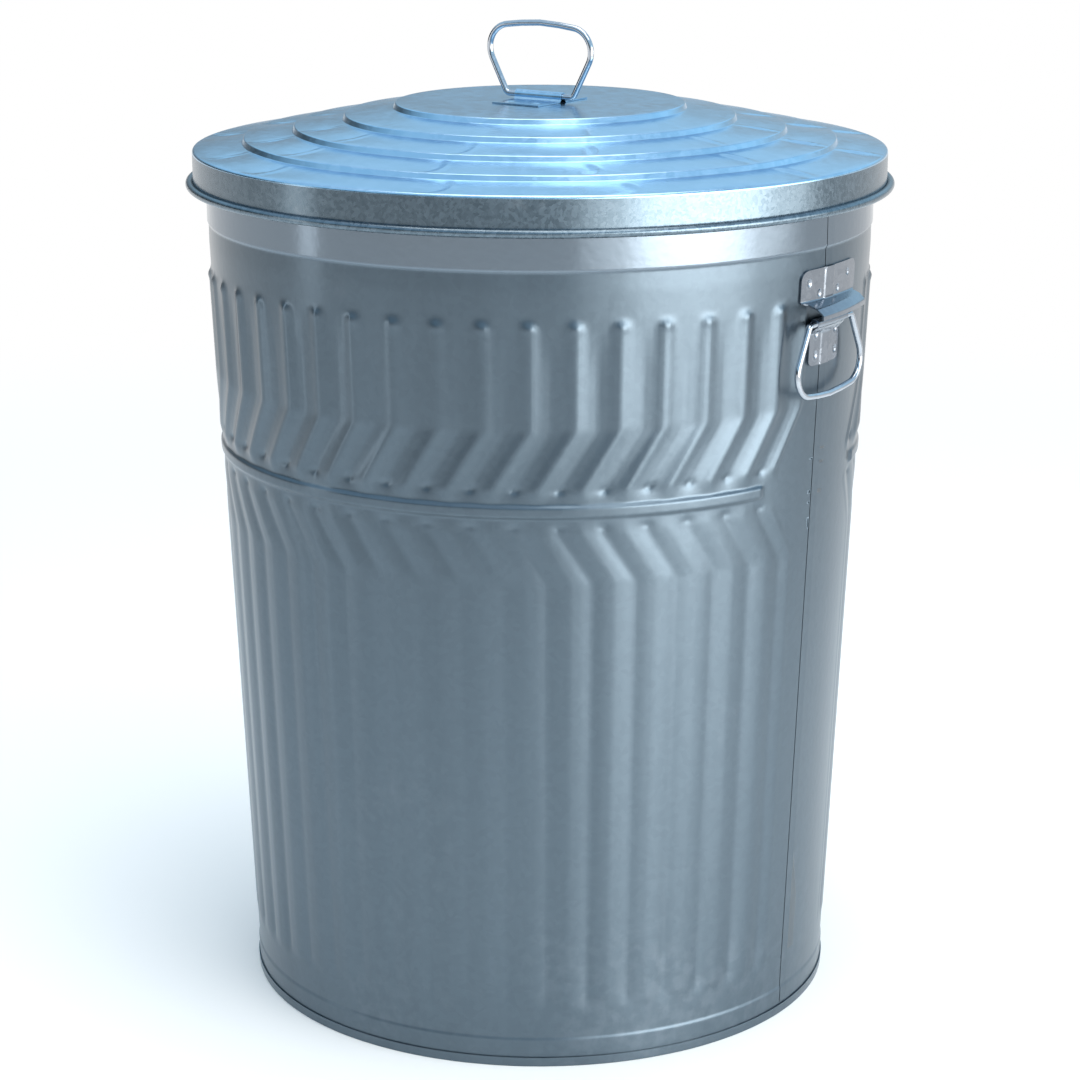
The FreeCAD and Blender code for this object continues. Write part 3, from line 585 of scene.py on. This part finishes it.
WELD_RADIUS, WELD_DEPTH = 2.4 * MM, 0.9 * MM


def dents(along, height, spots):
    """Round weld dents with a faint raised lip."""
    pressed = 0.0
    for spot_along, spot_height in spots:
        away = np.hypot(along - spot_along, height - spot_height) / WELD_RADIUS
        lip = 0.25 * WELD_DEPTH * np.exp(-((away - 1.35) / 0.3) ** 2)
        pressed = pressed - WELD_DEPTH * np.exp(-away ** 4) + lip
    return pressed


def wall_strip(name, line, widths, sheet, spots, channel_rows, sign, columns, shift=0.0, skew=0.0):
    """A strip over the seam: line holds offset and height, widths the half width of each row."""
    share = np.linspace(-1, 1, columns + 1)
    along = widths[:, None] * share[None, :] + shift
    skewed = 1 - skew * share[None, :] * (1 - channel_rows[:, None])
    skins = []
    for skin in skins_of(line, sheet):
        offset, height = skin[:, :1], skin[:, 1:]
        rise = SEAM_RISE * (1 - smooth_step(np.abs(along), *CHANNEL)) * channel_rows[:, None]
        offset = offset * skewed + rise + dents(along, height + 0 * along, spots)
        radius = side_radius + (height - side_axis_z) * TAPER + offset
        azimuth = np.degrees(along / side_radius)
        grid = polar(radius, azimuth, height + 0 * along)
        skins.append(grid * np.array([sign, sign, 1]))
    return add_mesh(name, *sheet_grids(*skins))


def corner_cut(distance, radius):
    """How much a rounded corner takes off the half width at a distance from the end."""
    inside = np.clip(radius - distance, 0, radius)
    return radius - np.sqrt(radius ** 2 - inside ** 2)


# %% Stops with their hoods
stop_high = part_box("handle_stop_right")[1]
FLANGE_LOW, FLANGE_HIGH = stop_high.z - 24.5 * MM, stop_high.z
HOOD_SHELF, HOOD_SLOPE = 9 * MM, 5.2 * MM
HOOD_BENDS, STOP_CORNER = [2.5 * MM, 6 * MM, 2 * MM], 8 * MM
flange_offset = CLIP_FIT + STOP_SHEET / 2
bend_out = flange_offset + STOP_SHEET / 2 + HOOD_SHELF
stop_line = rounded([
    (flange_offset, FLANGE_HIGH), (flange_offset, FLANGE_LOW + 0.6 * MM),
    (bend_out, FLANGE_LOW - 2.4 * MM), (bend_out + HOOD_SLOPE, FLANGE_LOW - 6.6 * MM),
    (bend_out + HOOD_SLOPE, FLANGE_LOW - 10 * MM)], HOOD_BENDS, steps=6)
stop_line = np.array(divided(stop_line, STRIP_STEP) + [stop_line[-1]])[::-1]
on_flange = smooth_step(stop_line[:, 1], FLANGE_LOW - 1 * MM, FLANGE_LOW + 3 * MM)
stop_widths = HOOD_HALF + (STOP_HALF - HOOD_HALF) * smooth_step(
    stop_line[:, 1], FLANGE_LOW - 0.5 * MM, FLANGE_LOW + 1.5 * MM)
stop_widths = stop_widths - corner_cut(FLANGE_HIGH - stop_line[:, 1], STOP_CORNER)
STOP_SPOTS = [(-26.5 * MM, 590.5 * MM), (30.5 * MM, 591 * MM),
              (-13 * MM, 581.5 * MM), (14 * MM, 581.5 * MM)]
STOP_SHIFT, HOOD_SKEW = 5 * MM, 0.2
for name, node, sign in (("right_stop", "handle_stop_right", 1), ("left_stop", "handle_stop_left", -1)):
    stop = wall_strip(name, stop_line, stop_widths, STOP_SHEET, STOP_SPOTS, on_flange, sign,
                      columns=110, shift=STOP_SHIFT, skew=HOOD_SKEW)
    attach(stop, "can")
    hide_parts(node)

# %% Clips of the side bails
eye_out = side_axis_x - side_radius
EYE, LEAF_LENGTH, CLIP_CORNER = 3.1 * MM, 33 * MM, 5 * MM
leaf_offset = CLIP_FIT + CLIP_SHEET / 2
eye_turns = np.radians(np.linspace(-75, 235, 34))
eye = np.stack([eye_out + EYE * np.cos(eye_turns), side_axis_z + EYE * np.sin(eye_turns)], axis=-1)
leaf = rounded([(leaf_offset, side_axis_z - LEAF_LENGTH), (leaf_offset, side_axis_z - 8.5 * MM),
                tuple(eye[0])], [3 * MM])
clip_line = np.concatenate([np.array(divided(leaf, STRIP_STEP)), eye])
on_leaf = 1 - smooth_step(clip_line[:, 1], side_axis_z - 9 * MM, side_axis_z - 5 * MM)
clip_widths = CLIP_HALF - corner_cut(clip_line[:, 1] - clip_line[0, 1], CLIP_CORNER)
CLIP_SPOTS = [(-13.5 * MM, 551 * MM), (15 * MM, 551 * MM), (-13 * MM, 535 * MM), (16 * MM, 535 * MM)]
for name, node, sign in (("right_clip", "handle_clip_right", 1), ("left_clip", "handle_clip_left", -1)):
    clip = wall_strip(name, clip_line, clip_widths, CLIP_SHEET, CLIP_SPOTS, on_leaf, sign,
                      columns=66)
    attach(clip, "can")
    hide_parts(node)
print("clip rows:", len(clip_line), "stop rows:", len(stop_line))

# %% Clip on the lid: a flat strap arched over the wire
lid_clip_low, lid_clip_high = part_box("lid_handle_clip")
strap_z = lid_clip_low.z + CLIP_SHEET / 2
arch_turns = np.radians(np.linspace(215, -35, 30))
arch = np.stack([EYE * np.cos(arch_turns), lid_axis + EYE * np.sin(arch_turns)], axis=-1)
ARCH_FOOT, ARCH_BEND, FLAT_FROM = 4.4 * MM, 0.8 * MM, 8 * MM
strap_line = np.concatenate([
    rounded([(lid_clip_low.y, strap_z), (-ARCH_FOOT, strap_z), tuple(arch[0])], [ARCH_BEND]), arch,
    rounded([tuple(arch[-1]), (ARCH_FOOT, strap_z), (lid_clip_high.y, strap_z)], [ARCH_BEND])])
strap_line = np.array(divided(strap_line, STRIP_STEP) + [strap_line[-1]])
strap_x = np.linspace(lid_clip_low.x, lid_clip_high.x, 45)
LID_SPOTS = [(x * MM, y * MM) for x in (-12, 12) for y in (-22, 22)]
strap_skins = []
for skin in skins_of(strap_line, CLIP_SHEET):
    y, z = skin[:, :1] + 0 * strap_x, skin[:, 1:] + 0 * strap_x
    x = strap_x[None, :] + 0 * y
    flat = np.abs(y) > FLAT_FROM
    strap_skins.append(np.stack([x, y, z + dents(x, y, LID_SPOTS) * flat], axis=-1))
lid_clip = add_mesh("lid_clip", *sheet_grids(*strap_skins))
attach(lid_clip, "lid")
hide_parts("lid_handle_clip")

# %% [markdown]
# ## Zinc finish
# Hot-dip zinc is a dull mirror with a faint pattern of crystals, the spangle. Rolling leaves fine
# streaks, handling leaves soft ripples and scuffs, and the collar is smoother than the wall, its
# lighter colour a painted reflection. Each of these is a node group, so that every finish can use it
# with its own strength. The wall and the skirt of the lid are rolled sheet, so their highlights are
# drawn out one way. The top of the lid is painted sky blue, a painted reflection of the sky.

# %% Helpers for node trees
def new_group(name, inputs, outputs):
    """A node group with number sockets; gives the group, its input node and its output node."""
    group = bpy.data.node_groups.new(name, "ShaderNodeTree")
    for socket, value in inputs.items():
        made = group.interface.new_socket(socket, in_out="INPUT", socket_type="NodeSocketFloat")
        made.default_value = value
    for socket in outputs:
        group.interface.new_socket(socket, in_out="OUTPUT", socket_type="NodeSocketFloat")
    start = group.nodes.new("NodeGroupInput")
    end = group.nodes.new("NodeGroupOutput")
    return group, start, end


def add_node(tree, kind, values=None, **settings):
    """A node with its settings; a value that is a socket is linked, any other is set."""
    node = tree.nodes.new(kind)
    for name, value in settings.items():
        setattr(node, name, value)
    for socket, value in (values or {}).items():
        if isinstance(value, bpy.types.NodeSocket):
            tree.links.new(value, node.inputs[socket])
        else:
            node.inputs[socket].default_value = value
    return node


def math_node(tree, operation, a, b=0.0, clamp=False):
    node = add_node(tree, "ShaderNodeMath", {0: a, 1: b}, operation=operation, use_clamp=clamp)
    return node.outputs[0]


def place_in(tree):
    """The place on the piece, in metres."""
    return add_node(tree, "ShaderNodeTexCoord").outputs["Object"]


def noise_in(tree, place, scale, detail, roughness=0.5):
    """Noise over a place."""
    return add_node(tree, "ShaderNodeTexNoise", {"Vector": place, "Scale": scale, "Detail": detail,
                                                 "Roughness": roughness})


# %% Node groups: spangle, streaks, ripples, scuffs and the collar's gloss and painted sheen
def spangle_group():
    group, start, end = new_group("zinc_spangle", {"Scale": 40.0}, ["Shade"])
    place = place_in(group)
    warp = noise_in(group, place, 25.0, 2.0)
    moved = add_node(group, "ShaderNodeMix", {"Factor": 0.02, "A": place, "B": warp.outputs["Color"]},
                     data_type="VECTOR")
    cells = add_node(group, "ShaderNodeTexVoronoi", {"Vector": moved.outputs["Result"],
                                                     "Scale": start.outputs["Scale"]})
    split = add_node(group, "ShaderNodeSeparateColor", {"Color": cells.outputs["Color"]})
    group.links.new(split.outputs["Red"], end.inputs["Shade"])
    return group


def streak_group():
    group, start, end = new_group("rolled_streaks", {"Stretch": 40.0, "Scale": 30.0}, ["Shade"])
    split = add_node(group, "ShaderNodeSeparateXYZ", {"Vector": place_in(group)})
    squeezed = math_node(group, "DIVIDE", split.outputs["Z"], start.outputs["Stretch"])
    joined = add_node(group, "ShaderNodeCombineXYZ", {"X": split.outputs["X"], "Y": split.outputs["Y"],
                                                      "Z": squeezed})
    noise = noise_in(group, joined.outputs["Vector"], start.outputs["Scale"], 3.0)
    group.links.new(noise.outputs["Fac"], end.inputs["Shade"])
    return group


def ripple_group():
    group, start, end = new_group("sheet_ripples", {"Scale": 9.0, "Fine": 0.2}, ["Height"])
    place = place_in(group)
    soft = noise_in(group, place, start.outputs["Scale"], 2.0)
    peel = noise_in(group, place, 160.0, 1.0)
    fine_part = math_node(group, "MULTIPLY", peel.outputs["Fac"], start.outputs["Fine"])
    group.links.new(math_node(group, "ADD", soft.outputs["Fac"], fine_part), end.inputs["Height"])
    return group


def scuff_group():
    group, start, end = new_group("scuffs", {"Amount": 0.5, "Low": 0.25}, ["Mask"])
    place = place_in(group)
    split = add_node(group, "ShaderNodeSeparateXYZ", {"Vector": place})
    patch = noise_in(group, place, 7.0, 5.0, 0.7)
    near_floor = add_node(group, "ShaderNodeMapRange", {
        "Value": split.outputs["Z"], "From Min": start.outputs["Low"], "From Max": 0.0,
        "To Min": 0.0, "To Max": 0.12})
    worn = math_node(group, "ADD", patch.outputs["Fac"], near_floor.outputs["Result"])
    marks = add_node(group, "ShaderNodeMapRange", {"Value": worn, "From Min": 0.58, "From Max": 0.72})
    scratch = noise_in(group, place, 90.0, 6.0)
    broken = add_node(group, "ShaderNodeMapRange", {
        "Value": scratch.outputs["Fac"], "From Min": 0.45, "From Max": 0.62})
    both = math_node(group, "MULTIPLY", marks.outputs["Result"], broken.outputs["Result"])
    group.links.new(math_node(group, "MULTIPLY", both, start.outputs["Amount"], True), end.inputs["Mask"])
    return group


# A mask above a height: there the collar is made glossier and painted lighter, a painted reflection.
def band_group():
    group, start, end = new_group("collar_gloss_and_painted_sheen", {"Level": 0.6}, ["Mask"])
    split = add_node(group, "ShaderNodeSeparateXYZ", {"Vector": place_in(group)})
    above = math_node(group, "SUBTRACT", split.outputs["Z"], start.outputs["Level"])
    mask = add_node(group, "ShaderNodeMapRange", {"Value": above, "From Min": 0.0, "From Max": 0.003},
                    interpolation_type="SMOOTHSTEP")
    group.links.new(mask.outputs["Result"], end.inputs["Mask"])
    return group


groups = {"collar_gloss_and_painted_sheen": band_group(), "spangle": spangle_group(), "streaks": streak_group(),
          "ripples": ripple_group(), "scuffs": scuff_group()}
print("node groups:", sorted(group.name for group in bpy.data.node_groups))


# %% Zinc materials
RIPPLE_SCALE, BAND_GLOSS, WORN_ROUGHER, QUARTER_TURN = 9.0, 0.11, 0.2, 0.25


def use_group(tree, key, **values):
    """A node group in a material, with its own numbers."""
    node = tree.nodes.new("ShaderNodeGroup")
    node.node_tree = groups[key]
    for name, value in values.items():
        node.inputs[name].default_value = value
    return node


def mixed(tree, mask, below, above):
    """A colour over another one by a mask; each colour is a socket or three numbers."""
    mix = add_node(tree, "ShaderNodeMix", {"Factor": mask}, data_type="RGBA")
    for socket, colour in ((mix.inputs[6], below), (mix.inputs[7], above)):
        if isinstance(colour, bpy.types.NodeSocket):
            tree.links.new(colour, socket)
        else:
            socket.default_value = (*colour, 1)
    return mix.outputs[2]


def zinc(name, dark, light, worn, roughness, scuffs, spangle=220.0, streaks=0.5, ripple=0.0004,
         fine=0.2, rolled=0.0, spread=0.05, bright_above=None, painted_sheen_colour=None):
    """A zinc finish between two shades of its pattern, with worn marks and, if asked, a glossier band
    painted lighter as a painted reflection.
    """
    material = bpy.data.materials.new(name)
    material.use_nodes = True
    tree = material.node_tree
    shader = tree.nodes["Principled BSDF"]
    shader.inputs["Metallic"].default_value = 1.0
    shader.inputs["Anisotropic"].default_value = rolled
    shader.inputs["Anisotropic Rotation"].default_value = QUARTER_TURN
    crystals = use_group(tree, "spangle", Scale=spangle)
    streaked = use_group(tree, "streaks")
    waves = use_group(tree, "ripples", Scale=RIPPLE_SCALE, Fine=fine)
    marks = use_group(tree, "scuffs", Amount=scuffs)
    shade = add_node(tree, "ShaderNodeMix", {"Factor": streaks, "A": crystals.outputs["Shade"],
                                             "B": streaked.outputs["Shade"]}, data_type="FLOAT")
    tint = mixed(tree, shade.outputs["Result"], dark, light)
    finish = mixed(tree, marks.outputs["Mask"], tint, worn)
    rough = add_node(tree, "ShaderNodeMapRange", {
        "Value": shade.outputs["Result"], "To Min": roughness - spread, "To Max": roughness + spread})
    rougher = math_node(tree, "MULTIPLY", marks.outputs["Mask"], WORN_ROUGHER)
    rough = math_node(tree, "ADD", rough.outputs["Result"], rougher)
    # Above the given height the sheet is less rough, and its colour is painted lighter as a painted
    # reflection.
    if bright_above is not None:
        band = use_group(tree, "collar_gloss_and_painted_sheen", Level=bright_above)
        finish = mixed(tree, band.outputs["Mask"], finish, painted_sheen_colour)
        gloss = math_node(tree, "MULTIPLY", band.outputs["Mask"], BAND_GLOSS)
        rough = math_node(tree, "SUBTRACT", rough, gloss)
    tree.links.new(finish, shader.inputs["Base Color"])
    tree.links.new(rough, shader.inputs["Roughness"])
    bump = add_node(tree, "ShaderNodeBump", {"Distance": ripple, "Height": waves.outputs["Height"]})
    tree.links.new(bump.outputs["Normal"], shader.inputs["Normal"])
    return material


def paint(material, *pieces):
    """One material for each piece, in place of what it had."""
    for piece in pieces:
        piece.data.materials.clear()
        piece.data.materials.append(material)


COLLAR_ABOVE_Z, SKIRT_BELOW = 612.5 * MM, 2.4 * MM
LID_WORN = (0.62, 0.68, 0.72)
# Above the collar level the wall is glossier and painted lighter, a painted reflection.
wall_zinc = zinc("wall_zinc", (0.108, 0.14, 0.168), (0.148, 0.19, 0.225), (0.30, 0.34, 0.38), 0.30,
                 scuffs=0.12, rolled=0.88, streaks=0.8, spread=0.03,
                 bright_above=COLLAR_ABOVE_Z, painted_sheen_colour=(0.19, 0.235, 0.28))
# The lid's top is coloured sky blue: a painted reflection of the sky over the zinc's own pattern and wear.
lid_zinc = zinc("lid_zinc", (0.31, 0.50, 0.67), (0.40, 0.59, 0.76), LID_WORN, 0.22,
                scuffs=0.1, spangle=160.0, streaks=0.4, ripple=0.0005, fine=0.03)
skirt_zinc = zinc("skirt_zinc", (0.10, 0.14, 0.172), (0.19, 0.245, 0.29), LID_WORN, 0.27,
                  scuffs=0.2, spangle=420.0, streaks=0.35, ripple=0.0005, fine=0.05, rolled=0.5)
bracket_zinc = zinc("bracket_zinc", (0.22, 0.25, 0.29), (0.30, 0.33, 0.37), (0.45, 0.48, 0.52), 0.2,
                    scuffs=0.15, ripple=0.00015)
bail_zinc = zinc("bail_zinc", (0.40, 0.44, 0.49), (0.50, 0.54, 0.59), (0.6, 0.6, 0.6), 0.13,
                 scuffs=0.1, spangle=300.0, ripple=0.0001)

# %% Which piece has which finish
paint(wall_zinc, panel_front, panel_rear)
paint(lid_zinc, lid)
# The skirt takes grey zinc, while the top of the lid keeps the sky-blue painted reflection.
lid.data.materials.append(skirt_zinc)
for face in lid.data.polygons:
    face.material_index = int(math.hypot(*face.center.xy) > LID_RADIUS - MM
                              and face.center.z < LID_TOP_Z - SKIRT_BELOW)
paint(wall_zinc, pan)
paint(bail_zinc, *bail_pieces)
brackets = ("right_stop", "left_stop", "right_clip", "left_clip")
paint(bracket_zinc, *[bpy.data.objects[name] for name in brackets])
# The clip on the lid takes the same sky-blue painted reflection.
paint(lid_zinc, lid_clip)
paint(bail_zinc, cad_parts["rim_wire"])
print("materials:", [material.name for material in bpy.data.materials])

# %% [markdown]
# ## Floor and light
# The floor is pale and keeps the can's shadow. Away from the can it turns plain white, for the
# camera and in mirrors alike. Two soft lights to the right, a small one before a wide one, give the
# bright side of the wall and the collar. Weaker ones stand high, to the left and overhead. The surround is
# dimmer to the left and cooler above, as in the photograph.

# %% Floor
FLOOR_REACH, WHITE_FROM, WHITE_AT = 30.0, 0.75, 2.7
floor_mesh = bpy.data.meshes.new("floor")
corners = [(x * FLOOR_REACH, y * FLOOR_REACH, 0) for x, y in ((-1, -1), (1, -1), (1, 1), (-1, 1))]
floor_mesh.from_pydata(corners, [], [(0, 1, 2, 3)])
floor = bpy.data.objects.new("floor", floor_mesh)
bpy.context.scene.collection.objects.link(floor)
floor_material = bpy.data.materials.new("floor_paint")
floor_material.use_nodes = True
floor_tree = floor_material.node_tree
floor_shader = floor_tree.nodes["Principled BSDF"]
floor_shader.inputs["Base Color"].default_value = (0.97, 0.94, 0.90, 1)
floor_shader.inputs["Roughness"].default_value = 0.9
floor_shader.inputs["Specular IOR Level"].default_value = 0.0
white = add_node(floor_tree, "ShaderNodeEmission", {"Strength": 1.0})
path = add_node(floor_tree, "ShaderNodeLightPath")
seen = math_node(floor_tree, "MAXIMUM", path.outputs["Is Camera Ray"], path.outputs["Is Glossy Ray"])
seen = math_node(floor_tree, "MAXIMUM", seen, path.outputs["Is Transmission Ray"])
spot = add_node(floor_tree, "ShaderNodeNewGeometry")
away = add_node(floor_tree, "ShaderNodeVectorMath", {0: spot.outputs["Position"]}, operation="LENGTH")
far = add_node(floor_tree, "ShaderNodeMapRange", {
    "Value": away.outputs["Value"], "From Min": WHITE_FROM, "From Max": WHITE_AT},
    interpolation_type="SMOOTHSTEP")
blend = add_node(floor_tree, "ShaderNodeMixShader", {
    "Fac": math_node(floor_tree, "MULTIPLY", seen, far.outputs["Result"])})
floor_tree.links.new(floor_shader.outputs["BSDF"], blend.inputs[1])
floor_tree.links.new(white.outputs["Emission"], blend.inputs[2])
floor_tree.links.new(blend.outputs["Shader"], floor_tree.nodes["Material Output"].inputs["Surface"])
floor_mesh.materials.append(floor_material)
print("floor turns white between", WHITE_FROM, "and", WHITE_AT, "m")

# %% Lights
def area_light(name, location, target, size, watts, colour=(1, 1, 1)):
    """A soft oval light turned towards a target."""
    data = bpy.data.lights.new(name, "AREA")
    data.shape = "ELLIPSE"
    data.size, data.size_y = size
    data.energy = watts
    data.color = colour
    light = bpy.data.objects.new(name, data)
    bpy.context.scene.collection.objects.link(light)
    light.location = location
    aim = np.array(target, float) - np.array(location, float)
    tilt = math.acos(-aim[2] / np.linalg.norm(aim))
    light.rotation_euler = (tilt, 0, math.atan2(aim[1], aim[0]) - math.pi / 2)


def from_camera(right, ahead, up):
    """A place given to the right of, beyond and above the can as the camera sees it."""
    along = camera_angle + math.pi
    cos, sin = math.cos(along), math.sin(along)
    return (ahead * cos + right * sin, ahead * sin - right * cos, up)


def around_camera(azimuth, distance, height):
    """A place round the can; azimuth 0 is towards the camera, positive to its right."""
    turn = math.radians(azimuth)
    return from_camera(distance * math.sin(turn), -distance * math.cos(turn), height)


WARM, WARMER = (1, 0.97, 0.93), (1, 0.91, 0.82)
LOW_AIM, HIGH_AIM = (0, 0, 0.4), (0, 0, 0.5)
area_light("key", around_camera(50, 2.5, 0.75), LOW_AIM, (2.2, 1.4), 26, WARM)
area_light("key_wide", around_camera(54, 2.7, 0.75), LOW_AIM, (5.0, 1.5), 54, WARM)
area_light("high", around_camera(25, 1.7, 2.8), HIGH_AIM, (1.8, 1.2), 14, WARM)
area_light("left_far", around_camera(-80, 2.4, 0.8), LOW_AIM, (0.5, 1.3), 2)
# The overhead light's target is a hair off its axis, which sets the way it is turned.
area_light("top", (0, 0, 3.2), (0, 0.001, 0), (2.5, 2.5), 42, WARMER)

# %% Surround
SKY_LOW, SKY_HIGH = -0.2, 1.0
# Colours by the height of the direction, from below the horizon to straight up.
SKY = [(-0.2, (0.75, 0.76, 0.78)), (0.0, (0.62, 0.66, 0.70)), (0.08, (0.38, 0.45, 0.49)),
       (0.18, (0.44, 0.58, 0.68)), (0.3, (0.60, 0.92, 1.15)), (0.6, (0.60, 0.85, 1.08)),
       (1.0, (0.75, 0.86, 1.0))]
LEFT_GAIN, RIGHT_GAIN, SIDE_REACH = 0.12, 1.5, 0.9
world = bpy.data.worlds.new("surround")
bpy.context.scene.world = world
world.use_nodes = True
sky = world.node_tree
background = sky.nodes["Background"]
direction = add_node(sky, "ShaderNodeTexCoord").outputs["Generated"]
height = add_node(sky, "ShaderNodeSeparateXYZ", {"Vector": direction}).outputs["Z"]
level_of = add_node(sky, "ShaderNodeMapRange", {
    "Value": height, "From Min": SKY_LOW, "From Max": SKY_HIGH})
ramp = add_node(sky, "ShaderNodeValToRGB", {"Fac": level_of.outputs["Result"]})
stops = ramp.color_ramp.elements
for number, (level, colour) in enumerate(SKY):
    place = (level - SKY_LOW) / (SKY_HIGH - SKY_LOW)
    stop = stops[number] if number < 2 else stops.new(place)
    stop.position = place
    stop.color = (*colour, 1)
rightwards = add_node(sky, "ShaderNodeVectorMath", {0: direction, 1: from_camera(1, 0, 0)},
                      operation="DOT_PRODUCT")
sides = add_node(sky, "ShaderNodeMapRange", {
    "Value": rightwards.outputs["Value"], "From Min": -SIDE_REACH, "From Max": SIDE_REACH,
    "To Min": LEFT_GAIN, "To Max": RIGHT_GAIN}, interpolation_type="SMOOTHSTEP")
low = add_node(sky, "ShaderNodeMapRange", {"Value": height, "From Min": 0.45, "From Max": 0.15})
gain = add_node(sky, "ShaderNodeMix", {
    "Factor": low.outputs["Result"], "A": 1.0, "B": sides.outputs["Result"]}, data_type="FLOAT")
sky.links.new(ramp.outputs["Color"], background.inputs["Color"])
sky.links.new(gain.outputs["Result"], background.inputs["Strength"])
print("colours of the surround:", len(SKY))
